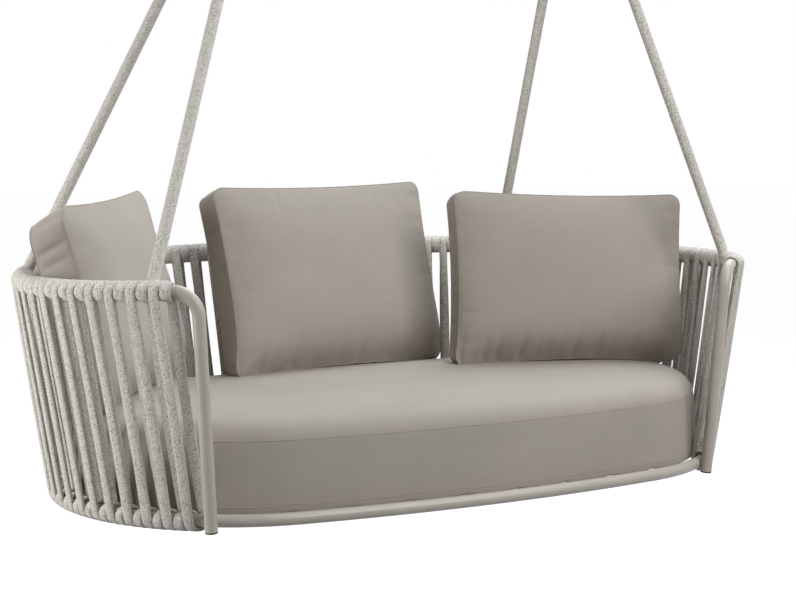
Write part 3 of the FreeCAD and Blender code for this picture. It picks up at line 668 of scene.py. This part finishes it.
# %% Panels
def side_line(half, corner, draw_in, count):
    """One side of a rounded outline: distance along it and distance out from it, evenly spaced.

    The side is straight apart from half of each corner's arc, and bows in by 1 - (share)^2."""
    arc = corner * math.pi / 4
    flat = half - corner
    reach = np.linspace(-flat - arc, flat + arc, count + 1)
    turn = np.clip(np.abs(reach) - flat, 0.0, None) / corner
    along = np.sign(reach) * (np.minimum(np.abs(reach), flat) + corner * np.sin(turn))
    bow = draw_in * np.clip(1 - (along / flat) ** 2, 0.0, 1.0)
    return along, -corner * (1 - np.cos(turn)) - bow


def rounded_sides(width, height, corner, draw_in, counts):
    """Bottom, right, top and left lines of a rounded rectangle about the origin."""
    along, out = side_line(width / 2, corner, draw_in, counts[0])
    up, beyond = side_line(height / 2, corner, draw_in, counts[1])
    bottom = np.stack((along, -height / 2 - out), -1)
    top = np.stack((along, height / 2 + out), -1)
    right = np.stack((width / 2 + beyond, up), -1)
    left = np.stack((-width / 2 - beyond, up), -1)
    return bottom, right, top, left


def panel(sides):
    """Flat grid between four lines: the two blends of opposite lines, less the blend of the corners."""
    bottom, right, top, left = sides
    s = np.linspace(0.0, 1.0, len(bottom))[None, :, None]
    t = np.linspace(0.0, 1.0, len(left))[:, None, None]
    ruled = (1 - t) * bottom[None] + t * top[None] + (1 - s) * left[:, None] + s * right[:, None]
    corners = (1 - t) * ((1 - s) * bottom[0] + s * bottom[-1]) + t * ((1 - s) * top[0] + s * top[-1])
    return ruled - corners


def swell(rows, columns, power):
    """Height of a filled panel, 1 in the middle and 0 on its seams: ((1 - s^2)(1 - t^2))^power.

    The power is smaller and the height a little greater low down, where the filling has sunk, so the
    panel rolls over there."""
    s = np.linspace(-1.0, 1.0, columns)[None, :]
    t = np.linspace(-1.0, 1.0, rows)[:, None]
    sunk = power * (1 + 0.25 * t)
    return ((1 - s**2) * (1 - t**2)) ** sunk * (1 + 0.22 * np.exp(-(((t + 0.45) / 0.4) ** 2)))


# %% Sewn cover
def border(index, step):
    """Numbers of a grid's points round its edge, or of those a step further in beside each of them."""
    last = -1 - step
    sides = (index[step, :-1], index[:-1, last], index[last, :0:-1], index[:0:-1, step])
    return np.concatenate(sides)


class Cover:
    """Sewn cover: face panel, back panel and the boxing strip between them, as one closed mesh.

    Axes are a and b in the panel and c towards the face. The profile gives, for each row of the
    boxing, how far it stands out from the seam line and its place along c."""

    def __init__(self, sides, profile, face_crown, back_crown, power=0.45):
        self.flat = panel(sides)
        self.shape = self.flat.shape[:2]
        self.count = self.shape[0] * self.shape[1]
        index = np.arange(self.count).reshape(self.shape)
        loop = border(index, 0)
        inner = border(index, 1)
        self.seam = self.flat.reshape(-1, 2)[loop]
        tangent = unit(np.roll(self.seam, -1, axis=0) - np.roll(self.seam, 1, axis=0))
        self.outward = np.stack((tangent[:, 1], -tangent[:, 0]), -1)
        swollen = swell(*self.shape, power)
        face = np.dstack((self.flat, profile[0][1] + face_crown * swollen)).reshape(-1, 3)
        back = np.dstack((self.flat, profile[-1][1] - back_crown * swollen)).reshape(-1, 3)
        strips = [
            np.column_stack((self.seam + self.outward * out, np.full(len(self.seam), level)))
            for out, level in profile[1:-1]
        ]
        self.points = np.vstack([face, back] + strips)
        between = 2 * self.count + np.arange(len(strips) * len(loop)).reshape(len(strips), -1)
        self.box = np.vstack((loop, between, loop + self.count))
        self.rows = np.vstack((inner, self.box, inner + self.count))
        self.sew(profile)

    def sew(self, profile):
        """Cells of the panels and the boxing, with cloth lengths as UV: flat on the panels, and round
        about and across on the boxing."""
        cells = quads(*self.shape)
        box_cells = self.box.ravel()[quads(*self.box.shape, column_loop=True)]
        self.faces = np.vstack((cells[:, ::-1], cells + self.count, box_cells))
        reach = along_path(np.vstack((self.seam, self.seam[:1])))
        self.round_about = reach[:-1]
        depth = along_path(np.array(profile))
        box_uv = cell_uv(depth[:-1, None], depth[1:, None], reach[None, :-1], reach[None, 1:])
        plain = np.vstack((self.flat.reshape(-1, 2), self.flat.reshape(-1, 2)))
        panel_uv = plain[self.faces[: 2 * len(cells)]]
        self.uv = np.concatenate((panel_uv.reshape(-1, 2), box_uv[..., ::-1].reshape(-1, 2)))


# %% [markdown]
# ## Blowing up a cover
# Filling pushes a cover out everywhere and its seams hold it back. That could be shaped by hand, but a
# cloth simulation finds it: air pressure inside, a little spare cloth, and the seams pinned. No point may
# move further than a set limit, so the cushion keeps the size of its solid.

# %% Cloth run
SIM_FRAMES = 20


def run_cloth(piece):
    """Points of a piece after its cloth has run frame by frame; the piece itself is taken away again."""
    scene = bpy.context.scene
    for number in range(1, SIM_FRAMES + 1):
        scene.frame_set(number)
    settled = piece.evaluated_get(bpy.context.evaluated_depsgraph_get()).to_mesh()
    points = np.empty(len(settled.vertices) * 3)
    settled.vertices.foreach_get("co", points)
    scene.frame_set(1)
    mesh = piece.data
    bpy.data.objects.remove(piece)
    bpy.data.meshes.remove(mesh)
    return points.reshape(-1, 3)


def inflate(name, cover, pressure, spare, held, farthest):
    """Cover's points after a short cloth run with pressure inside, none moved more than the limit.

    The held points stay: piped seams are stiff, and a seat lies still on its deck."""
    piece = make_piece(name + "_trial", cover.points, cover.faces)
    loose = np.setdiff1d(np.arange(len(cover.points)), held)
    piece.vertex_groups.new(name="loose").add(loose.tolist(), 1.0, "REPLACE")
    piece.vertex_groups.new(name="held").add(np.ravel(held).tolist(), 1.0, "REPLACE")
    cloth = piece.modifiers.new("cloth", "CLOTH")
    rules = cloth.settings
    rules.quality = 6
    rules.mass = 0.3
    rules.tension_stiffness = 25.0
    rules.compression_stiffness = 25.0
    rules.shear_stiffness = 8.0
    rules.bending_stiffness = 0.6
    rules.use_pressure = True
    rules.uniform_pressure_force = pressure
    rules.vertex_group_mass = "held"
    rules.vertex_group_shrink = "loose"
    rules.shrink_min = 0.0
    rules.shrink_max = -spare
    rules.effector_weights.gravity = 0.0
    cloth.point_cache.frame_start = 1
    cloth.point_cache.frame_end = SIM_FRAMES
    points = run_cloth(piece)
    moved = points - cover.points
    length = np.linalg.norm(moved, axis=1, keepdims=True)
    print(name, "moved by", np.round((length.mean() * 1000, length.max() * 1000), 1), "mm")
    return cover.points + moved * np.minimum(1.0, farthest / np.maximum(length, 1e-9))


# %% [markdown]
# ## Piping
# A thin round welt is sewn into each seam and catches the light. A bevelled edge would only soften the
# seam, so the welt is a tube of its own, laid along the seam where the smoothed cover really has it.

# %% Welt
WELT_SIDES = 8


def piping(name, path, radius):
    """Thin welt round a seam: a circle carried along the closed seam line, one side pointing outward."""
    way = unit(np.roll(path, -1, axis=0) - np.roll(path, 1, axis=0))
    side = path - path.mean(axis=0)
    side = unit(side - way * np.sum(side * way, -1, keepdims=True))
    points = circles(path, side, np.cross(side, way), radius, WELT_SIDES)
    cells = quads(len(path), WELT_SIDES, row_loop=True, column_loop=True)
    return make_piece(name, points, cells)


# %% [markdown]
# ## Cushion cloth
# The covers are of a plain woven outdoor cloth, nearly one colour from afar, with slubs in both threads
# close up. Threads as geometry would be far too many, so two sine waves make the weave, stretched noise
# makes the slubs, the slubs feed the colour, and both feed a shallow relief.

# %% Cloth finish
THREAD = 0.0011
CLOTH_RELIEF = 0.0004


def cushion_cloth(name, colour):
    """Outdoor cloth: a fine plain weave with slubs along both threads and a soft sheen."""
    cloth = Finish(name)
    place = cloth.add("ShaderNodeUVMap", "UV", {"uv_map": "cloth"})
    split = cloth.add("ShaderNodeSeparateXYZ", "X", Vector=place).node.outputs
    warp = cloth.sum("SINE", cloth.sum("MULTIPLY", split["X"], 2 * math.pi / THREAD))
    weft = cloth.sum("SINE", cloth.sum("MULTIPLY", split["Y"], 2 * math.pi / THREAD))
    weave = cloth.sum("MULTIPLY_ADD", cloth.sum("MULTIPLY", warp, weft), 0.5, 0.5)
    lengthwise = cloth.add("ShaderNodeMapping", "Vector", Vector=place, Scale=(25.0, 700.0, 1.0))
    crosswise = cloth.add("ShaderNodeMapping", "Vector", Vector=place, Scale=(700.0, 25.0, 1.0))
    slub = cloth.add("ShaderNodeTexNoise", "Fac", Vector=lengthwise, Scale=1.0, Detail=2.0)
    slub_too = cloth.add("ShaderNodeTexNoise", "Fac", Vector=crosswise, Scale=1.0, Detail=2.0)
    threads = cloth.sum("MULTIPLY", cloth.sum("ADD", slub, slub_too), 0.5)
    spot = cloth.add("ShaderNodeTexCoord", "Object")
    cloudy = cloth.add("ShaderNodeTexNoise", "Fac", Vector=spot, Scale=7.0, Detail=3.0)
    mixed = cloth.sum("MULTIPLY_ADD", cloudy, 0.35, cloth.sum("MULTIPLY", threads, 0.65))
    pale = tuple(1.10 * part for part in colour)
    deep = tuple(0.90 * part for part in colour)
    tone = cloth.ramp(mixed, [(0.3, deep), (0.7, pale)])
    cloth.bump(cloth.sum("MULTIPLY_ADD", weave, 0.5, threads), CLOTH_RELIEF, 0.5)
    return cloth.set(
        Base_Color=tone,
        Roughness=0.85,
        Specular_IOR_Level=0.15,
        Sheen_Weight=0.12,
        Sheen_Roughness=0.4,
    )


fabric = cushion_cloth("greige_cloth", (0.45, 0.41, 0.36))


# %% Sewing a cushion together
def dress(name, node, cover, points, welts, radius):
    """Finished cushion as pieces of the sofa, with piping on some of its rows.

    A piping's path is 3/4 of its own row and 1/8 of each neighbour, where the smoothed seam lies."""
    body = make_piece(name, points, cover.faces, cover.uv)
    smooth = body.modifiers.new("smooth", "SUBSURF")
    smooth.levels = 1
    smooth.render_levels = 1
    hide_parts(node)
    lines = []
    for row in welts:
        before, seam, after = points[cover.rows[row - 1 : row + 2]]
        lines.append(piping(f"{name}_piping_{row}", 0.75 * seam + 0.125 * (before + after), radius))
    for piece in [body] + lines:
        piece.data.materials.append(fabric)
        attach(piece, "sofa")
    print(name, "points", len(points), "and", len(lines), "lines of piping")


# %% [markdown]
# ## The seat cushion
# The seat is one thick oval cushion that fills the base ring. A scaled cylinder would miss the flat back
# and the bowed front, so its plan is the ring's own oval drawn in all round, its boxing follows a rounded
# profile, and its rim sags a little between the cross tubes of the deck.

# %% Seat outline
SEAT_GAP = 0.032
SEAT_EDGE = 0.062
SEAT_LOWER_EDGE = 0.007
SEAT_TUCK = 0.012
SEAT_BULGE = 0.009
SEAT_BOTTOM = 0.0146
SEAT_THICK = 0.205
RING_DEPTH = 0.496
REAR_X, FRONT_X = RING_HALF - RING_REAR, RING_HALF - RING_FRONT


def bow_centre(rise):
    """Distance from the middle back to the centre of the front bow, which meets both front arcs."""
    return (FRONT_X**2 - rise**2) / (2 * rise)


def seat_sides(inset, count):
    """Front, right, back and left lines of the seat: the base ring's oval drawn in by the inset."""
    rear, front, depth = RING_REAR - inset, RING_FRONT - inset, RING_DEPTH - inset
    bow = bow_centre(depth - front)
    join = math.atan2(bow, FRONT_X)
    across = np.linspace(-1.0, 1.0, count[0] + 1)
    bow_turn = (math.pi / 2 - join) * across
    front_line = np.stack(((depth + bow) * np.sin(bow_turn), bow - (depth + bow) * np.cos(bow_turn)), -1)
    back_line = np.stack((REAR_X * across, np.full_like(across, rear)), -1)
    reach = np.linspace(-front * join, rear * math.pi / 2, count[1] + 1)
    turn = np.where(reach < 0, reach / front, reach / rear)
    centre = np.where(reach < 0, FRONT_X, REAR_X)
    radius = np.where(reach < 0, front, rear)
    right_line = np.stack((centre + radius * np.cos(turn), radius * np.sin(turn)), -1)
    left_line = right_line * (-1, 1)
    return front_line, right_line, back_line, left_line


def seat_profile():
    """Boxing of the seat from the top seam to the bottom seam: round edge, full side, round edge.

    The edges are quarter circles, and the side swells downward with a quarter sine wave."""
    turn = np.linspace(0.0, math.pi / 2, 7)
    upper = [(SEAT_EDGE * math.sin(a), SEAT_THICK - SEAT_EDGE * (1 - math.cos(a))) for a in turn]
    steps = np.linspace(0.0, 1.0, 12)[1:-1]
    tall = SEAT_THICK - SEAT_EDGE - SEAT_LOWER_EDGE
    bulge = [SEAT_EDGE + SEAT_BULGE * math.sin(math.pi / 2 * q) for q in steps]
    side = [(out, SEAT_THICK - SEAT_EDGE - tall * q) for out, q in zip(bulge, steps)]
    inward = SEAT_EDGE + SEAT_BULGE - SEAT_LOWER_EDGE
    lower = [
        (inward + SEAT_LOWER_EDGE * math.cos(a), SEAT_LOWER_EDGE * (1 - math.sin(a))) for a in turn[::2]
    ]
    return upper + side + lower + [(inward - SEAT_TUCK, 0.0), (0.0, 0.0)]


# %% Seat heights
SEAT_CROWN = 0.010
CROWN_REACH = 0.2
SEAT_SAG = 0.006
SEAT_SCALLOP = 0.005
OVERHANG = 0.085
SAG_TOP = 0.15
TUBE_REACH = 0.025


def inside_ring(x, y):
    """Distance inwards from the base ring's middle line to points in plan, arc by arc."""
    bow = bow_centre(RING_DEPTH - RING_FRONT)
    rear = RING_REAR - np.hypot(np.maximum(np.abs(x) - REAR_X, 0.0), y)
    corner = RING_FRONT - np.hypot(np.abs(x) - FRONT_X, y)
    middle = RING_DEPTH + bow - np.hypot(x, y - bow)
    at_corner = (np.abs(x) - FRONT_X) * bow > -y * FRONT_X
    return np.where(y > 0, rear, np.where(at_corner, corner, middle))


def seat_top(x, y):
    """Height of the seat: a quarter circle in from its side, then a slight crown."""
    inside = inside_ring(x, y) - SEAT_GAP
    into_edge = np.clip(SEAT_EDGE - inside, 0.0, SEAT_EDGE)
    drop = SEAT_EDGE - np.sqrt(SEAT_EDGE**2 - into_edge**2)
    crown = SEAT_CROWN * np.clip((inside - SEAT_EDGE) / CROWN_REACH, 0.0, 1.0) ** 0.5
    return SEAT_BOTTOM + SEAT_THICK + crown - drop


def sag(points):
    """Seat points with the rim let down by (sag + scallop between) low overhang^0.5.

    Between is 0 at a cross tube and 1 away from it; low and overhang fall evenly upward and inward."""
    overhang = 1 - np.clip((inside_ring(points[:, 0], points[:, 1]) - SEAT_GAP) / OVERHANG, 0.0, 1.0)
    low = np.clip(1 - points[:, 2] / SAG_TOP, 0.0, 1.0)
    tube_x = ring.at_unit(CROSS_TUBES)[0][:, 0]
    nearest = np.abs(points[:, :1] - tube_x[None]).min(axis=1)
    between = 1 - np.exp(-((nearest / TUBE_REACH) ** 2))
    sunk = points.copy()
    sunk[:, 2] -= (SEAT_SAG + SEAT_SCALLOP * between) * low * overhang**0.5
    return sunk


# %% Seat
SEAT_COUNTS = (72, 70)
# From this row of the boxing down, the seat lies still on the deck.
SEAT_HELD_FROM = 8
# Rows of the cover that carry piping, counted from just inside the top seam.
SEAT_WELTS, SEAT_WELT_RADIUS = (6, 17), 0.0009
seat_cover = Cover(seat_sides(SEAT_GAP + SEAT_EDGE, SEAT_COUNTS), seat_profile(), SEAT_CROWN, 0.0, 1.0)
underside = np.arange(seat_cover.count, 2 * seat_cover.count)
still = np.union1d(underside, seat_cover.box[SEAT_HELD_FROM:])
seat_full = sag(inflate("seat", seat_cover, 0.05, 0.0, still, 0.005))
seat_points = seat_full + np.array((0.0, 0.0, SEAT_BOTTOM)) + SOFA
dress("seat_pillow", "seat_cushion", seat_cover, seat_points, SEAT_WELTS, SEAT_WELT_RADIUS)

# %% [markdown]
# ## The back cushions
# Three loose cushions lean against the rope sides, each at its own angle. Copies of one cushion would give
# themselves away, so each has its own size, slump and folds. Their weight folds the lower edge under and
# presses it into the seat, and short gathers run in from the seams.

# %% Sizes and places
# Stand is the place of the bottom middle of the back; turn, lean and roll are in degrees.
BACK_CUSHIONS = {
    "left_side": {
        "size": (0.592, 0.484),
        "stand": (-0.716, 0.139, 0.2159),
        "turn_lean_roll": (49.9, 15.5, 2.2),
        "boxing": 0.094,
        "corner": 0.052,
        "slump": 0.024,
    },
    "centre_back": {
        "size": (0.708, 0.504),
        "stand": (-0.044, 0.329, 0.2120),
        "turn_lean_roll": (10.1, 14.9, 0.3),
        "boxing": 0.078,
        "corner": 0.030,
        "slump": 0.008,
    },
    "right_back": {
        "size": (0.679, 0.472),
        "stand": (0.584, 0.099, 0.2190),
        "turn_lean_roll": (-13.7, 9.5, -1.5),
        "boxing": 0.078,
        "corner": 0.030,
        "slump": 0.004,
    },
}


def turned(points, degrees, axis):
    """Points turned about a main axis."""
    angle = math.radians(degrees)
    c, s = math.cos(angle), math.sin(angle)
    matrix = {
        "x": ((1, 0, 0), (0, c, -s), (0, s, c)),
        "y": ((c, 0, s), (0, 1, 0), (-s, 0, c)),
        "z": ((c, -s, 0), (s, c, 0), (0, 0, 1)),
    }[axis]
    return points @ np.array(matrix).T


def stood(local, stand, turn, lean, roll):
    """Cushion points rolled, leaned back, turned and set down at a place on the sofa."""
    return turned(turned(turned(local, -roll, "y"), -lean, "x"), turn, "z") + np.array(stand)


# %% Weight on the seat
PRESSED_IN = 0.008
SAG_HEIGHT = 0.26
LEAST_DROP, MOST_DROP, MOST_RISE = 0.006, 0.03, 0.02
TUCK_UNDER, TUCK_HEIGHT = 0.045, 0.055
CORNER_SHARE = 0.6


def settle(points, height, under):
    """Lower part let down until the cushion's underside is pressed into the seat a little.

    Under is each point's shadow on the underside; the drop fades with the square of the height."""
    gap = under[:, 2] - seat_top(under[:, 0], under[:, 1]) + PRESSED_IN
    most = np.clip((inside_ring(under[:, 0], under[:, 1]) - SEAT_GAP) * 0.5, LEAST_DROP, MOST_DROP)
    fade = np.clip(1 - height / SAG_HEIGHT, 0.0, 1.0) ** 2
    lowered = points.copy()
    lowered[:, 2] -= np.clip(gap, -MOST_RISE, most) * fade
    return lowered


def tucked(full, width, height, boxing):
    """Depth in front of the face seam, drawn back near the bottom by exp(-(height / reach)^2).

    The draw is less towards both corners, which stand out, and nothing at the back seam."""
    deep = full[:, 2] - boxing / 2
    low = np.exp(-(((full[:, 1] + height / 2) / TUCK_HEIGHT) ** 2))
    low = low * (1 - CORNER_SHARE * (2 * full[:, 0] / width).clip(-1, 1) ** 6)
    return deep - TUCK_UNDER * low * np.clip(1 + deep / boxing, 0.0, 1.0)


# %% Gathers and creases
GATHER_DEPTH, GATHER_REACH, GATHER_LENGTHS = 0.009, 0.022, (0.083, 0.057, 0.037)
CREASE_DEPTH, CREASE_LENGTHS = 0.009, (0.091, 0.053, 0.033)
BOTTOM_SHARE, TOP_SHARE, SIDE_SHARE = 1.0, 0.15, 0.3


def ripple(along, wavelengths):
    """Uneven gathers along a seam, from 0 to 1: waves of several lengths with their lows cut off."""
    phases = rng.uniform(0.0, 2 * math.pi, len(wavelengths))
    waves = [np.sin(2 * math.pi * along / length + phase) for length, phase in zip(wavelengths, phases)]
    return np.clip(sum(waves) / len(waves), 0.0, 1.0)


def gather(points, cover, width, height):
    """Cover pulled in a little beside its seams, most at the bottom, where the weight folds it.

    Each side's ripple fades from its seam as d exp(1 - d), d being the distance over the reach."""
    a = np.broadcast_to(np.linspace(0.0, width, cover.shape[1])[None, :], cover.shape)
    b = np.broadcast_to(np.linspace(0.0, height, cover.shape[0])[:, None], cover.shape)
    sides = (
        (a, b, BOTTOM_SHARE),
        (a, height - b, TOP_SHARE),
        (b, a, SIDE_SHARE),
        (b, width - a, SIDE_SHARE),
    )
    gathered = points.copy()
    for panel_start, way in ((0, -1.0), (cover.count, 1.0)):
        depth = np.zeros(cover.shape)
        for along, off, share in sides:
            near = off / GATHER_REACH
            depth += share * ripple(along, GATHER_LENGTHS) * near * np.exp(1 - near)
        gathered[panel_start : panel_start + cover.count, 2] += way * GATHER_DEPTH * depth.ravel()
    across = np.linspace(-1.0, 1.0, len(cover.box))[1:-1, None]
    crease = ripple(cover.round_about, CREASE_LENGTHS)[None] * (1 - across**2)
    gathered[cover.box[1:-1], :2] -= CREASE_DEPTH * crease[..., None] * cover.outward[None]
    return gathered


# %% Three cushions
DEPTH = 0.145
FRONT_SEAM = 0.1115
DRAW_IN = 0.008
SEAM_BOW = 0.005
SEAM_MARGIN = 0.008
FILL_ROOM = 0.004
CELL = 0.0085
BOX_ROWS = 8
WELT_RADIUS = 0.0012
for name, cushion in BACK_CUSHIONS.items():
    width, height = cushion["size"]
    boxing = cushion["boxing"]
    counts = (round(width / CELL), round(height / CELL))
    sides = rounded_sides(width - SEAM_MARGIN, height - SEAM_MARGIN, cushion["corner"], DRAW_IN, counts)
    profile = [(SEAM_BOW * (1 - q * q), q * boxing / 2) for q in np.linspace(1.0, -1.0, BOX_ROWS + 1)]
    cover = Cover(sides, profile, DEPTH - FRONT_SEAM - FILL_ROOM, FRONT_SEAM - boxing - FILL_ROOM)
    full = inflate(name, cover, 14.0, 0.03, np.unique(cover.box[[0, -1]]), 0.024)
    full = gather(full, cover, width, height)
    deep = tucked(full, width, height, boxing)
    local = np.column_stack((full[:, 0], -FRONT_SEAM - deep, full[:, 1] + height / 2))
    local[:, 2] -= cushion["slump"] * np.clip(-deep / boxing, 0.0, 1.0) * local[:, 2] / height
    placed = stood(local, cushion["stand"], *cushion["turn_lean_roll"])
    under = stood(local * (1, 1, 0), cushion["stand"], *cushion["turn_lean_roll"])
    points = settle(placed, local[:, 2], under) + SOFA
    dress(name + "_pillow", name + "_cushion", cover, points, (1, BOX_ROWS + 1), WELT_RADIUS)

# %% [markdown]
# ## Floor and background
# The photograph is a studio shot on pure white. A white wall would need strong light, so the floor and
# the world are white only to rays that see them directly or in a mirror, and dim for the light that falls
# on the sofa.

# %% Floor and world
FLOOR_LEVEL = -2.35
FLOOR_GLOW = 0.9
AMBIENT = 0.02


def seen_directly(finish):
    """Share that is 1 for rays from the camera, a mirror or glass, and 0 for light on its way."""
    rays = finish.add("ShaderNodeLightPath", "Is Camera Ray").node.outputs
    mirrored = finish.sum("ADD", rays["Is Glossy Ray"], rays["Is Transmission Ray"])
    return finish.sum("MINIMUM", finish.sum("ADD", rays["Is Camera Ray"], mirrored), 1.0)


floor_points = np.array([(x, y, FLOOR_LEVEL) for x, y in ((-30, -30), (30, -30), (30, 30), (-30, 30))])
floor = make_piece("floor", floor_points, [(0, 1, 2, 3)])
floor_finish = Finish("pale_floor")
floor.data.materials.append(
    floor_finish.set(
        Base_Color=(0.2, 0.2, 0.2, 1.0),
        Roughness=0.9,
        Emission_Color=(1.0, 1.0, 1.0, 1.0),
        Emission_Strength=floor_finish.sum("MULTIPLY", seen_directly(floor_finish), FLOOR_GLOW),
    )
)
studio = Finish("studio", bpy.data.worlds.new("studio"), "Background")
glow = studio.sum("MULTIPLY_ADD", seen_directly(studio), 1.0 - AMBIENT, AMBIENT)
bpy.context.scene.world = studio.set(Color=(1.0, 1.0, 1.0, 1.0), Strength=glow)
print("floor at", FLOOR_LEVEL, "m")

# %% [markdown]
# ## Light
# Soft shadows and a bright left cushion show a broad main light, high at the front right. Weaker lights
# come from behind on the right, from the left and from above, the higher ones a little cooler. A sun lamp
# would draw hard edges, so all four are large squares turned towards the sofa.

# %% Lights
MIDDLE = (-0.1, 0.0, -1.5)
PLAIN, COOL = (1.0, 1.0, 1.0), (0.93, 0.98, 1.04)
LIGHTS = {
    "main": ((1.0, -3.6, 1.2), 3.0, 142.0, PLAIN),
    "behind": ((2.4, 1.8, 2.0), 3.4, 118.0, COOL),
    "left": ((-3.2, 0.4, -1.15), 1.6, 58.0, PLAIN),
    "above": ((1.3, 0.3, 3.0), 3.6, 97.0, COOL),
}
for name, (place, width, power, tint) in LIGHTS.items():
    lamp = bpy.data.lights.new(name, "AREA")
    lamp.size = width
    lamp.energy = power
    lamp.color = tint
    holder = bpy.data.objects.new(name, lamp)
    holder.location = place
    holder.rotation_euler = (Vector(MIDDLE) - Vector(place)).to_track_quat("-Z", "Y").to_euler()
    bpy.context.collection.objects.link(holder)
    print(name, "light", round(math.dist(place, MIDDLE), 1), "m away,", power, "W")
bpy.context.scene.view_settings.view_transform = "Standard"
